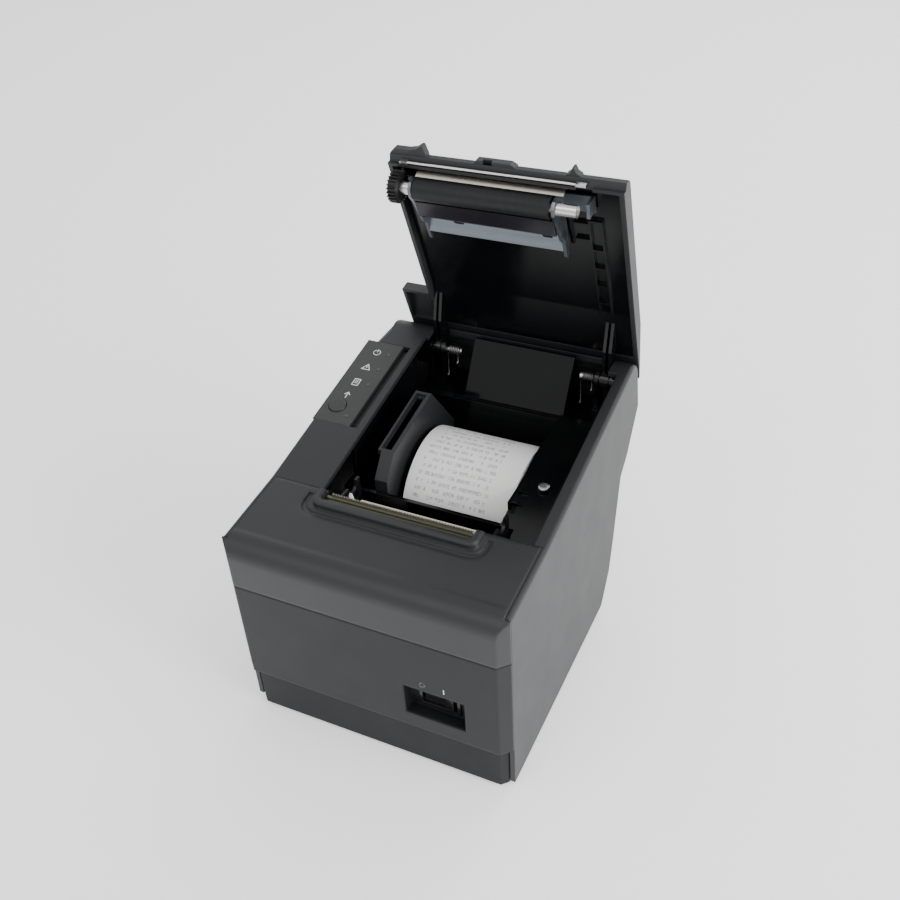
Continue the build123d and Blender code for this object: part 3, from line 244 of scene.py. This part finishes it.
def glossy(name, base, rough, edge=0.3, shine=0.35):
    """Smooth black plastic with faint wipe marks and a very fine grain."""
    r = Recipe(name, base, rough, edge=edge * MM, shine=shine)
    r.mix(r.spread(r.noise(30 * MM, detail=2), 0.4, 0.75, 0, 0.3), lighter(base, 1.4))
    r.vary_rough(r.noise(12 * MM, (1, 0.3, 1), 3, 0.5), rough - 0.04, rough + 0.06)
    r.bump(r.noise(0.4 * MM, detail=2), 0.0015 * MM)
    return r.mat


def sheet_metal(name, base, rough, along="X", edge=0.12, blotch=0.2):
    """Rolled or ground metal with fine lines along one axis and faint blotches."""
    r = Recipe(name, base, rough, metal=1.0, edge=edge * MM)
    fine = {"X": (0.02, 1, 1), "Y": (1, 0.02, 1), "Z": (1, 1, 0.02)}[along]
    lines = r.noise(0.25 * MM, fine, 3, 0.6)
    r.mix(r.spread(r.noise(7 * MM, detail=5, rough=0.6), 0.4, 0.7, 0, blotch), lighter(base, 0.62))
    r.mix(r.spread(lines, 0.45, 0.8, 0, 0.35), lighter(base, 1.25))
    r.vary_rough(r.noise(4 * MM, fine, 4), rough - 0.08, rough + 0.12)
    r.bump(lines, 0.006 * MM)
    return r.mat


def rubbery(name, base, rough):
    """Ground rubber with a fine matt tooth and a few polished streaks round the roller."""
    r = Recipe(name, base, rough, edge=0.2 * MM, shine=0.3)
    r.mix(r.spread(r.noise(3 * MM, (1, 0.3, 0.3), 4), 0.4, 0.7, 0, 0.5), lighter(base, 1.5))
    r.vary_rough(r.noise(2 * MM, (1, 0.2, 0.2), 3), rough - 0.08, rough + 0.06)
    r.bump(r.noise(0.18 * MM, detail=2), 0.02 * MM)
    return r.mat


def wound_paper(name, base, centre, radius):
    """Thermal paper: faint bars printed round the roll, and fine layer lines on its ends."""
    r = Recipe(name, base, 0.55)
    split = r.node("ShaderNodeSeparateXYZ")
    r.link(r.coords, split.inputs[0])
    x, y, z = split.outputs
    dy = r.math("SUBTRACT", y, centre[1])
    dz = r.math("SUBTRACT", z, centre[2])
    reach = r.math("SQRT", r.math("ADD", r.math("MULTIPLY", dy, dy), r.math("MULTIPLY", dz, dz)))
    outside = r.math("GREATER_THAN", reach, radius - 0.25 * MM)
    # rows of print run across the paper, one below the other round the roll
    around = r.math("MULTIPLY", r.math("ARCTAN2", dy, dz), radius / MM)
    row_pitch = 4.0
    row = r.math("FLOOR", r.math("DIVIDE", around, row_pitch))
    in_row = r.math("FRACT", r.math("DIVIDE", around, row_pitch))
    tall = r.math("MULTIPLY", r.math("GREATER_THAN", in_row, 0.30), r.math("LESS_THAN", in_row, 0.78))
    across = r.math("MULTIPLY", r.math("SUBTRACT", x, centre[0]), 1 / MM)
    place = r.node("ShaderNodeCombineXYZ")
    r.link(r.math("FLOOR", r.math("MULTIPLY", across, 0.8)), place.inputs[0])
    r.link(row, place.inputs[1])
    words = r.node("ShaderNodeTexWhiteNoise", noise_dimensions="2D")
    r.link(place.outputs[0], words.inputs["Vector"])
    word_on = r.math("GREATER_THAN", words.outputs["Value"], 0.33)
    fine = r.node("ShaderNodeCombineXYZ")
    r.link(r.math("FLOOR", r.math("MULTIPLY", across, 3.2)), fine.inputs[0])
    r.link(r.math("FLOOR", r.math("MULTIPLY", around, 2.2)), fine.inputs[1])
    dots = r.node("ShaderNodeTexWhiteNoise", noise_dimensions="2D")
    r.link(fine.outputs[0], dots.inputs["Vector"])
    dots_on = r.math("GREATER_THAN", dots.outputs["Value"], 0.42)
    margin = r.math("LESS_THAN", r.math("ABSOLUTE", r.math("ADD", across, 4.0)), 20.0)
    ink = r.math("MULTIPLY", r.math("MULTIPLY", tall, word_on), r.math("MULTIPLY", dots_on, margin))
    ink = r.math("MULTIPLY", r.math("MULTIPLY", ink, outside), 0.62)
    r.mix(r.spread(r.noise(12 * MM, detail=3), 0.3, 0.7, 0, 0.5), lighter(base, 0.95))
    r.mix(ink, (0.16, 0.16, 0.18))
    # wound layers on the ends
    layers = r.math("SINE", r.math("MULTIPLY", reach, 2 * math.pi / (0.35 * MM)))
    ends = r.math("SUBTRACT", 1.0, outside)
    r.mix(r.math("MULTIPLY", ends, r.spread(layers, 0.2, 1.0, 0, 0.28)), (0.55, 0.54, 0.52))
    r.bump(r.noise(0.6 * MM, detail=3), 0.012 * MM)
    return r.mat


def wound_card(name, base, centre):
    """Grey-brown card core with spiral seams."""
    r = Recipe(name, base, 0.8)
    r.mix(r.spread(r.noise(1.2 * MM, (0.3, 1, 1), 5, 0.7), 0.35, 0.7, 0, 0.6), lighter(base, 0.6))
    wave = r.node("ShaderNodeTexWave", bands_direction="DIAGONAL")
    r.link(r.coords, wave.inputs["Vector"])
    wave.inputs["Scale"].default_value = 30
    wave.inputs["Distortion"].default_value = 1.0
    r.mix(r.spread(wave.outputs["Fac"], 0.9, 1.0, 0, 0.6), lighter(base, 0.45))
    r.bump(r.noise(0.4 * MM, detail=3), 0.03 * MM)
    return r.mat


def printed(name, base):
    """Screen-printed ink, a little uneven."""
    r = Recipe(name, base, 0.6)
    r.mix(r.spread(r.noise(0.5 * MM, detail=3), 0.4, 0.7, 0, 0.4), lighter(base, 0.7))
    r.bump(r.noise(0.15 * MM, detail=2), 0.005 * MM)
    return r.mat


def lens_plastic(name, base):
    """Milky clear lens of an indicator."""
    r = Recipe(name, base, 0.18)
    r.shader.inputs["Transmission Weight"].default_value = 0.25
    r.mix(r.spread(r.noise(0.5 * MM, detail=2), 0.4, 0.6, 0, 0.3), lighter(base, 0.75))
    r.bump(r.noise(0.4 * MM, detail=2), 0.01 * MM)
    return r.mat


def board_coat(name, base):
    """Green circuit board with faint copper tracks under its coat."""
    r = Recipe(name, base, 0.32, edge=0.1 * MM)
    tracks = r.node("ShaderNodeTexBrick")
    r.link(r.coords, tracks.inputs["Vector"])
    tracks.inputs["Scale"].default_value = 260
    tracks.inputs["Mortar Size"].default_value = 0.06
    r.mix(r.math("MULTIPLY", tracks.outputs["Fac"], 0.6), lighter(base, 2.2))
    r.mix(r.spread(r.noise(2 * MM, detail=3), 0.4, 0.7, 0, 0.4), lighter(base, 0.6))
    r.bump(tracks.outputs["Fac"], 0.02 * MM)
    return r.mat


def paint(material, *nodes):
    """Gives a material to CAD nodes."""
    for name in nodes:
        node = frame["nodes"][name]
        for place in node.material_slots:
            place.material = material


# ---- hand tools ----------------------------------------------------------------------------------


def deselect():
    """Leaves edit mode and clears the selection."""
    if bpy.context.object and bpy.context.object.mode == "EDIT":
        bpy.ops.object.mode_set(mode="OBJECT")
    bpy.ops.object.select_all(action="DESELECT")


def start(kind, **options):
    """Adds a primitive with nothing else selected."""
    deselect()
    getattr(bpy.ops.mesh, f"primitive_{kind}_add")(**options)
    return bpy.context.object


def edit(obj):
    """Opens one object in edit mode with nothing selected."""
    deselect()
    obj.select_set(True)
    bpy.context.view_layer.objects.active = obj
    bpy.ops.object.mode_set(mode="EDIT")
    bpy.ops.mesh.select_all(action="DESELECT")


def pick(obj, test, kind="FACE"):
    """Selects the faces, edges or vertices of the edited mesh that pass a test."""
    bpy.ops.mesh.select_mode(type=kind)
    mesh = bmesh.from_edit_mesh(obj.data)
    group = {"FACE": mesh.faces, "EDGE": mesh.edges, "VERT": mesh.verts}[kind]
    for item in group:
        item.select_set(bool(test(item)))
    mesh.select_flush_mode()
    bmesh.update_edit_mesh(obj.data)


def move(x=0.0, y=0.0, z=0.0):
    """Moves the selection by a step."""
    bpy.ops.transform.translate(value=(x, y, z))


def grow(x=0.0, y=0.0, z=0.0):
    """Extrudes the selected faces by a step."""
    bpy.ops.mesh.extrude_region_move(TRANSFORM_OT_translate={"value": (x, y, z)})


def scale_to(x, y, z):
    """Scales the selection about its middle."""
    bpy.ops.transform.resize(value=(x, y, z))


def modify(obj, kind, **options):
    """Adds a modifier and applies it."""
    deselect()
    obj.select_set(True)
    bpy.context.view_layer.objects.active = obj
    modifier = obj.modifiers.new(kind.title(), kind)
    for key, value in options.items():
        setattr(modifier, key, value)
    bpy.ops.object.modifier_apply(modifier=modifier.name)


def round_edges(obj, width, segments=2, angle=40):
    """Rounds the edges that turn by more than an angle, in degrees."""
    limit = math.radians(angle)
    modify(obj, "BEVEL", width=width, segments=segments, limit_method="ANGLE", angle_limit=limit)


def join(name, objs):
    """Joins objects into the first one."""
    deselect()
    for obj in objs:
        obj.select_set(True)
    bpy.context.view_layer.objects.active = objs[0]
    if len(objs) > 1:
        bpy.ops.object.join()
    objs[0].name = name
    return objs[0]


def block(x0, x1, y0, y1, z0, z1):
    """A box between two corners, in millimetres, to be shaped further."""
    obj = start("cube", size=1)
    obj.dimensions = ((x1 - x0) * MM, (y1 - y0) * MM, (z1 - z0) * MM)
    obj.location = ((x0 + x1) / 2 * MM, (y0 + y1) / 2 * MM, (z0 + z1) / 2 * MM)
    bpy.ops.object.transform_apply(location=True, rotation=True, scale=True)
    return obj


def copy_of(obj, turn):
    """A copy with its own mesh, moved by a matrix."""
    twin = obj.copy()
    twin.data = obj.data.copy()
    bpy.context.scene.collection.objects.link(twin)
    twin.data.transform(turn)
    return twin


def settle(obj, name, material, body, turn=None, smooth=35):
    """Bakes a finished piece's place into its mesh, names it and hangs it on its body."""
    deselect()
    obj.select_set(True)
    bpy.context.view_layer.objects.active = obj
    bpy.ops.object.transform_apply(location=True, rotation=True, scale=True)
    if turn:
        obj.data.transform(turn)
    bpy.ops.object.mode_set(mode="EDIT")
    bpy.ops.mesh.select_all(action="SELECT")
    bpy.ops.mesh.remove_doubles(threshold=0.00001)
    bpy.ops.mesh.normals_make_consistent(inside=False)
    bpy.ops.object.mode_set(mode="OBJECT")
    bpy.ops.object.shade_smooth_by_angle(angle=math.radians(smooth))
    obj.name = name
    obj.data.name = name
    obj.data.materials.clear()
    obj.data.materials.append(material)
    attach(obj, body)
    return obj


def deck_frame(x, y):
    """A matrix that carries a flat piece onto the sloping deck at x and y, in millimetres."""
    panel_low, panel_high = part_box("control_panel")
    height = panel_high.z + (y * MM - panel_high.y) * math.tan(DECK_SLOPE)
    return Matrix.Translation((x * MM, y * MM, height)) @ Matrix.Rotation(DECK_SLOPE, 4, "X")


# ---- pieces --------------------------------------------------------------------------------------


class PRINTER_OT_stage(bpy.types.Operator):
    """Camera, soft studio light and a pale floor"""

    bl_idname = "printer.stage"
    bl_label = "Stage"

    def execute(self, context):
        place = Vector((0.1970, -0.3709, 0.4356))
        target = Vector((0.0030, 0.0034, 0.1202))
        back = (place - target).normalized()
        right = Vector((0, 0, 1)).cross(back).normalized()
        up = back.cross(right)
        roll = math.radians(-3.8)
        side = right * math.cos(roll) + up * math.sin(roll)
        head = up * math.cos(roll) - right * math.sin(roll)
        lens = bpy.data.cameras.new("camera")
        lens.lens = sizes().lens
        lens.sensor_width = 36
        lens.clip_start = 0.01
        lens.clip_end = 20
        camera = bpy.data.objects.new("camera", lens)
        context.scene.collection.objects.link(camera)
        turn = Matrix((side, head, back)).transposed().to_4x4()
        camera.matrix_world = Matrix.Translation(place) @ turn
        context.scene.camera = camera
        self.floor()
        self.light("key", (-0.5, -1.1, 1.6), 1.0, 5)
        self.light("side", (1.5, -0.2, 0.55), 1.1, 34)
        self.light("back", (0.2, 1.3, 1.2), 1.0, 8)
        world = bpy.data.worlds.new("studio")
        context.scene.world = world
        world.use_nodes = True
        world.node_tree.nodes["Background"].inputs["Color"].default_value = (1, 1, 1, 1)
        world.node_tree.nodes["Background"].inputs["Strength"].default_value = 1.0
        return {"FINISHED"}

    def floor(self):
        floor = start("plane", size=6)
        edit(floor)
        pick(floor, lambda e: all(v.co.y > 2 for v in e.verts), "EDGE")
        grow(z=3)
        bpy.ops.object.mode_set(mode="OBJECT")
        round_edges(floor, 1.2, 12)
        bpy.ops.object.shade_smooth()
        floor.name = "floor"
        r = Recipe("floor_paper", (0.94, 0.94, 0.94), 0.7)
        r.mix(r.spread(r.noise(0.4, detail=2), 0.3, 0.7, 0, 0.3), (0.92, 0.92, 0.92))
        r.shader.inputs["Emission Color"].default_value = (1, 1, 1, 1)
        r.shader.inputs["Emission Strength"].default_value = 0.45
        floor.data.materials.append(r.mat)

    def light(self, name, place, size, power):
        lamp = bpy.data.lights.new(name, "AREA")
        lamp.size = size
        lamp.energy = power
        lamp.shape = "DISK"
        obj = bpy.data.objects.new(name, lamp)
        bpy.context.scene.collection.objects.link(obj)
        aim = Vector(place) - Vector((0, 0, 0.1))
        obj.location = place
        obj.rotation_euler = aim.to_track_quat("Z", "Y").to_euler()


class PRINTER_OT_casing(bpy.types.Operator):
    """Finishes of the casing, lid and base"""

    bl_idname = "printer.casing"
    bl_label = "Casing"

    def execute(self, context):
        tint = colors()
        edge = sizes().casing_edge / MM
        paint(moulded("casing_black", tint.casing, 0.50, edge=edge), "main_housing", "lid_cover")
        paint(moulded("cap_charcoal", tint.front, 0.44, edge=sizes().cap_edge / MM), "top_cap")
        darker = lighter(tint.front, 0.75)
        front_edge = sizes().front_edge / MM
        paint(moulded("front_charcoal", darker, 0.48, edge=front_edge, shine=0.3), "front_panel")
        # the base tray takes the casing colour at 0.7: painted shade for the shadow on the recessed
        # skirt under the body
        base = moulded("base_black_painted_shade", lighter(tint.casing, 0.7), 0.54, edge=edge, shine=0.25)
        paint(base, "base_tray")
        paint(rubbery("foot_rubber", (0.02, 0.02, 0.02), 0.75), "rubber_feet")
        inner = glossy("inner_black", tint.inner, 0.16)
        paint(inner, "lid_liner", "paper_well")
        paint(glossy("bulkhead_black", tint.inner, 0.09, shine=0.25), "rear_bulkhead")
        paint(glossy("guide_black", (0.012, 0.011, 0.015), 0.16), "paper_guide")
        paint(inner, "hinge_bracket_left", "hinge_bracket_right")
        # the divider's lighter grey is painted light, standing in for the light that falls on its face
        paint(glossy("divider_painted_light", tint.divider, 0.38), "paper_divider")
        socket = glossy("socket_black", (0.012, 0.012, 0.013), 0.3)
        paint(socket, "drawer_jack", "power_inlet", "connector_plate")
        return {"FINISHED"}


class PRINTER_OT_mechanism(bpy.types.Operator):
    """Finishes of the metal parts, gears, roller and boards"""

    bl_idname = "printer.mechanism"
    bl_label = "Mechanism"

    def execute(self, context):
        tint = colors()
        zinc = sheet_metal("zinc_plate", tint.zinc, 0.38)
        paint(zinc, "platen_bracket", "cutter_housing")
        paint(sheet_metal("dark_steel", (0.035, 0.036, 0.04), 0.4), "mechanism_frame", "bracket_screws")
        steel = sheet_metal("bright_steel", tint.steel, 0.22, edge=0.08)
        paint(steel, "platen_shaft", "platen_bush_left", "platen_bush_right", "wire_rod", "moving_blade")
        paint(steel, "hinge_pin_left", "hinge_pin_right", "idler_axle", "motor_shaft", "head_pivot_rod")
        paint(sheet_metal("blade_steel", (0.72, 0.69, 0.60), 0.30, edge=0.05), "fixed_blade")
        paint(sheet_metal("tear_steel", (0.30, 0.30, 0.27), 0.30, edge=0.03), "tear_bar")
        paint(sheet_metal("guide_steel", (0.16, 0.155, 0.115), 0.42), "cutter_guide")
        paint(sheet_metal("motor_can", (0.30, 0.30, 0.31), 0.38), "feed_motor", "cutter_motor")
        paint(sheet_metal("sink_metal", (0.50, 0.50, 0.51), 0.42), "head_heat_sink")
        paint(sheet_metal("port_plate", (0.52, 0.53, 0.54), 0.30), "network_jack", "usb_socket")
        gears = glossy("gear_black", (0.010, 0.010, 0.010), 0.32, edge=0.1)
        paint(gears, "platen_gear", "idler_gear", "motor_pinion")
        paint(rubbery("roller_rubber", tint.rubber, 0.5), "platen_roller")
        paint(glossy("head_glaze", (0.55, 0.50, 0.40), 0.2, edge=0.1), "print_head")
        paint(moulded("lever_white", (0.75, 0.75, 0.73), 0.4, wear=0), "cover_sensor_lever")
        paint(board_coat("board_green", (0.012, 0.075, 0.03)), "main_board", "button_board")
        paint(moulded("chip_black", (0.015, 0.015, 0.016), 0.45, wear=0), "board_components")
        return {"FINISHED"}


class PRINTER_OT_paper(bpy.types.Operator):
    """The wound paper roll on its card core"""

    bl_idname = "printer.paper"
    bl_label = "Paper roll"

    def execute(self, context):
        low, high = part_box("paper_roll")
        core_low, core_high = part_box("roll_core")
        centre = (low + high) / 2
        radius = (high.z - low.z) / 2
        bore = (core_high.z - core_low.z) / 2
        half = (high.x - low.x) / 2
        roll = start("plane", size=1, location=centre)
        roll.dimensions = (2 * half, radius - bore, 0)
        bpy.ops.object.transform_apply(location=False, rotation=False, scale=True)
        edit(roll)
        bpy.ops.mesh.select_all(action="SELECT")
        move(y=(radius + bore) / 2)
        bpy.ops.mesh.delete(type="ONLY_FACE")
        # the ends of the section get a step for every few layers of paper
        pick(roll, lambda e: abs(e.verts[0].co.x - e.verts[1].co.x) < 1e-6, "EDGE")
        bpy.ops.mesh.subdivide(number_cuts=40)
        step = (radius - bore) / 41

        def every_other(v):
            return abs(v.co.x) > half - 1e-6 and round((v.co.y - bore) / step) % 2 == 1

        pick(roll, every_other, "VERT")
        bpy.ops.transform.resize(value=((half - 0.07 * MM) / half, 1, 1), center_override=centre)
        pick(roll, lambda v: v.co.y > radius - 1e-6, "VERT")
        bpy.ops.transform.resize(value=((half - 0.15 * MM) / half, 1, 1), center_override=centre)
        bpy.ops.mesh.select_all(action="SELECT")
        bpy.ops.mesh.spin(steps=144, angle=2 * math.pi, center=centre, axis=(1, 0, 0))
        bpy.ops.object.mode_set(mode="OBJECT")
        paper = wound_paper("thermal_paper", colors().paper, centre, radius)
        settle(roll, "wound_roll", paper, "roll", smooth=60)
        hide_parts("paper_roll")
        paint(wound_card("card_core", (0.42, 0.33, 0.24), centre), "roll_core")
        return {"FINISHED"}


class PRINTER_OT_springs(bpy.types.Operator):
    """Wound torsion springs on the hinge pins"""

    bl_idname = "printer.springs"
    bl_label = "Hinge springs"

    def execute(self, context):
        wire = sizes().spring_wire
        steel = sheet_metal("spring_wire", (0.13, 0.13, 0.13), 0.25, edge=0.0)
        for side, lean in (("left", 1), ("right", -1)):
            name = f"torsion_spring_{side}"
            low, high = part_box(name)
            turns = 6
            reach = 3.6 * MM - wire
            pitch = (high.x - low.x - 2 * wire) / turns
            coil = start("circle", vertices=10, radius=wire, location=(low.x + wire, HINGE.y, HINGE.z))
            edit(coil)
            bpy.ops.mesh.select_all(action="SELECT")
            move(y=-reach)
            bpy.ops.object.mode_set(mode="OBJECT")
            modify(coil, "SCREW", axis="X", angle=2 * math.pi, iterations=turns, screw_offset=pitch,
                   steps=24, render_steps=24)
            bpy.ops.object.transform_apply(location=True)
            # the two ends are closed and drawn out into legs
            for end_x, drop in ((low.x + wire, -13 * MM), (high.x - wire, -4 * MM)):
                edit(coil)

                def at_rim(e):
                    middle = (e.verts[0].co.x + e.verts[1].co.x) / 2
                    return e.is_boundary and abs(middle - end_x) < 2 * wire

                def at_end(f):
                    return len(f.verts) == 10 and abs(f.calc_center_median().x - end_x) < 2 * wire

                pick(coil, at_rim, "EDGE")
                bpy.ops.mesh.edge_face_add()
                pick(coil, at_end)
                grow(z=drop)
                grow(y=-1.2 * MM, z=-1.2 * MM)
                bpy.ops.object.mode_set(mode="OBJECT")
            settle(coil, f"hinge_spring_{side}", steel, "printer", smooth=60)
            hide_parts(name)
        return {"FINISHED"}


def pan_screw(radius, height):
    """A domed screw head with a cross recess, its seat at the origin and its top towards +Z."""
    head = start("uv_sphere", segments=28, ring_count=16, radius=radius)
    edit(head)
    bpy.ops.mesh.select_all(action="SELECT")
    scale_to(1, 1, height / radius)
    bpy.ops.mesh.bisect(plane_co=(0, 0, 0.0), plane_no=(0, 0, 1), clear_inner=True, use_fill=True)
    bpy.ops.object.mode_set(mode="OBJECT")
    for turn in (0, math.pi / 2):
        cutter = start("cube", size=1, location=(0, 0, height), rotation=(0, 0, turn))
        cutter.scale = (radius * 1.1, radius * 0.24, height * 1.1)
        bpy.ops.object.transform_apply(location=True, rotation=True, scale=True)
        modify(head, "BOOLEAN", object=cutter, operation="DIFFERENCE", solver="EXACT")
        bpy.data.objects.remove(cutter)
    return head


class PRINTER_OT_screws(bpy.types.Operator):
    """Cross-head screws of the base and the well"""

    bl_idname = "printer.screws"
    bl_label = "Screws"

    def execute(self, context):
        metal = sheet_metal("screw_metal", (0.42, 0.43, 0.44), 0.32, edge=0.0)
        low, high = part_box("case_screws")
        master = pan_screw(3.0 * MM, 1.1 * MM)
        heads = []
        for x in (low.x + 3 * MM, high.x - 3 * MM):
            for y in (low.y + 3 * MM, high.y - 3 * MM):
                turn = Matrix.Translation((x, y, low.z + 1.1 * MM)) @ Matrix.Rotation(math.pi, 4, "X")
                heads.append(copy_of(master, turn))
        case = join("case_screw_heads", heads)
        settle(case, "case_screw_heads", metal, "printer")
        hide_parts("case_screws")
        low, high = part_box("well_screw")
        seat = Vector(((low.x + high.x) / 2, (low.y + high.y) / 2, high.z - 1.2 * MM))
        well = copy_of(master, Matrix.Translation(seat))
        settle(well, "well_screw_head", metal, "printer")
        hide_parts("well_screw")
        bpy.data.objects.remove(master)
        return {"FINISHED"}


class PRINTER_OT_sockets(bpy.types.Operator):
    """Contacts inside the sockets at the back"""

    bl_idname = "printer.sockets"
    bl_label = "Sockets"

    def execute(self, context):
        gold = sheet_metal("contact_gold", (0.75, 0.58, 0.25), 0.25, along="Y", edge=0.0)
        black = moulded("tongue_black", (0.012, 0.012, 0.013), 0.4, wear=0, edge=0.1)
        for node, count, pitch in (("network_jack", 8, 1.1), ("drawer_jack", 6, 1.1)):
            low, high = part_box(node)
            middle = (low.x + high.x) / 2 / MM
            strip = block(-0.2, 0.2, -4.5, 3.0, -0.15, 0.15)
            edit(strip)
            pick(strip, lambda f: f.normal.y > 0.9)
            grow(y=1.2 * MM, z=0.5 * MM)
            bpy.ops.object.mode_set(mode="OBJECT")
            round_edges(strip, 0.06 * MM, 1)
            rows = []
            for i in range(count):
                x = (middle + (i - (count - 1) / 2) * pitch) * MM
                rows.append(copy_of(strip, Matrix.Translation((x, high.y - 8 * MM, high.z - 3.0 * MM))))
            bpy.data.objects.remove(strip)
            settle(join(f"{node}_contacts", rows), f"{node}_contacts", gold, "printer")
        low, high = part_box("usb_socket")
        x, z = (low.x + high.x) / 2 / MM, (low.z + high.z) / 2 / MM
        tongue = block(x - 2.6, x + 2.6, high.y / MM - 9, high.y / MM - 1.2, z - 1.4, z + 1.4)
        round_edges(tongue, 0.3 * MM)
        settle(tongue, "usb_tongue", black, "printer")
        low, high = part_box("power_inlet")
        x, z = (low.x + high.x) / 2 / MM, (low.z + high.z) / 2 / MM
        pins = []
        for dx, dz in ((-1.7, -1.0), (1.7, -1.0), (0, 1.6)):
            along_y = (math.pi / 2, 0, 0)
            pin = start("cylinder", vertices=20, radius=0.55 * MM, depth=7 * MM, rotation=along_y)
            pin.location = ((x + dx) * MM, high.y - 5 * MM, (z + dz) * MM)
            bpy.ops.object.transform_apply(location=True, rotation=True, scale=True)
            round_edges(pin, 0.25 * MM)
            pins.append(pin)
        settle(join("power_pins", pins), "power_pins", gold, "printer")
        return {"FINISHED"}


class PRINTER_OT_controls(bpy.types.Operator):
    """Control panel with plain symbols, button, lights and the power switch"""

    bl_idname = "printer.controls"
    bl_label = "Controls"

    def execute(self, context):
        tint = colors()
        paint(moulded("panel_grey", tint.panel, 0.48, edge=0.3), "control_panel")
        paint(moulded("button_grey", lighter(tint.panel, 0.8), 0.42, edge=0.2, wear=0.2), "feed_button")
        paint(lens_plastic("light_lens", (0.07, 0.075, 0.07)), "indicator_lights")
        switch = glossy("switch_black", (0.008, 0.008, 0.009), 0.14, edge=0.4)
        paint(switch, "power_switch_body", "power_rocker")
        ink = printed("mark_ink", tint.mark)
        size = sizes().symbol / MM
        marks = [
            ("power_mark", self.power, (-63.0, 52.5)),
            ("alert_mark", self.alert, (-63.0, 40.5)),
            ("paper_mark", self.sheet, (-63.0, 28.5)),
            ("feed_mark", self.arrow, (-63.2, 18.4)),
        ]
        for name, shape, (x, y) in marks:
            mark = join(name, shape(size / 2))
            settle(mark, name, ink, "printer", deck_frame(x, y), smooth=20)
        self.switch_marks(ink)
        return {"FINISHED"}

    def stroke(self, x0, y0, x1, y1, width=0.38):
        """A flat printed line between two points, in millimetres."""
        run = math.hypot(x1 - x0, y1 - y0)
        turn = math.atan2(y1 - y0, x1 - x0)
        line = start("plane", size=1, location=((x0 + x1) / 2 * MM, (y0 + y1) / 2 * MM, 0.03 * MM))
        line.scale = ((run + width) * MM, width * MM, 1)
        line.rotation_euler.z = turn
        bpy.ops.object.transform_apply(location=True, rotation=True, scale=True)
        edit(line)
        bpy.ops.mesh.select_all(action="SELECT")
        grow(z=0.05 * MM)
        bpy.ops.object.mode_set(mode="OBJECT")
        return line

    def switch_marks(self, ink):
        """A ring and a bar beside the switch recess, plain marks for off and on."""
        low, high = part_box("power_switch_body")
        middle = (low + high) / 2
        front_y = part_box("front_panel")[0].y
        face = Matrix.Translation((middle.x, front_y, middle.z)) @ Matrix.Rotation(math.pi / 2, 4, "X")
        marks = [
            ("off_mark", self.ring(1.2, 0, 0.4), -5.5),
            ("on_mark", [self.stroke(0, -1.2, 0, 1.2, 0.45)], 5.5),
        ]
        for name, parts, x in marks:
            place = face @ Matrix.Translation((x * MM, 13.4 * MM, -0.06 * MM))
            settle(join(name, parts), name, ink, "printer", place, smooth=20)

    def ring(self, radius, gap_deg, width=0.38):
        """An open printed ring, its gap at the top."""
        points = []
        count = 20
        for i in range(count + 1):
            angle = math.radians(90 + gap_deg / 2 + (360 - gap_deg) * i / count)
            points.append((radius * math.cos(angle), radius * math.sin(angle)))
        return [self.stroke(*points[i], *points[i + 1], width) for i in range(count)]

    def power(self, r):
        return self.ring(0.8 * r, 60) + [self.stroke(0, 0.2 * r, 0, r)]

    def alert(self, r):
        corners = [(-r, -0.75 * r), (r, -0.75 * r), (0, 0.95 * r)]
        sides = [self.stroke(*corners[i], *corners[(i + 1) % 3]) for i in range(3)]
        return sides + [self.stroke(0, -0.15 * r, 0, 0.3 * r)]

    def sheet(self, r):
        corners = [(-0.7 * r, -r), (0.7 * r, -r), (0.7 * r, r), (-0.7 * r, r)]
        sides = [self.stroke(*corners[i], *corners[(i + 1) % 4]) for i in range(4)]
        return sides + [self.stroke(-0.3 * r, y * r, 0.3 * r, y * r, 0.3) for y in (-0.3, 0.1, 0.5)]

    def arrow(self, r):
        return [
            self.stroke(0, -0.9 * r, 0, 0.8 * r),
            self.stroke(-0.6 * r, 0.15 * r, 0, 0.85 * r),
            self.stroke(0.6 * r, 0.15 * r, 0, 0.85 * r),
        ]


OPERATORS = [
    PRINTER_OT_stage,
    PRINTER_OT_casing,
    PRINTER_OT_mechanism,
    PRINTER_OT_paper,
    PRINTER_OT_springs,
    PRINTER_OT_screws,
    PRINTER_OT_sockets,
    PRINTER_OT_controls,
]


class PRINTER_PT_panel(bpy.types.Panel):
    """Lists the printer's operators and settings"""

    bl_idname = "PRINTER_PT_panel"
    bl_label = "Receipt printer"
    bl_space_type = "VIEW_3D"
    bl_region_type = "UI"
    bl_category = "Printer"

    def draw(self, context):
        layout = self.layout
        for operator in OPERATORS:
            layout.operator(operator.bl_idname)
        for group in (context.scene.printer_colors, context.scene.printer_sizes):
            for key in group.__annotations__:
                layout.prop(group, key)


CLASSES = [PrinterColors, PrinterSizes, *OPERATORS, PRINTER_PT_panel]


def register():
    for cls in CLASSES:
        bpy.utils.register_class(cls)
    bpy.types.Scene.printer_colors = PointerProperty(type=PrinterColors)
    bpy.types.Scene.printer_sizes = PointerProperty(type=PrinterSizes)


def unregister():
    del bpy.types.Scene.printer_colors
    del bpy.types.Scene.printer_sizes
    for cls in reversed(CLASSES):
        bpy.utils.unregister_class(cls)


def main():
    register()
    for operator in OPERATORS:
        group, name = operator.bl_idname.split(".")
        getattr(getattr(bpy.ops, group), name)()


if __name__ == "__main__":
    main()
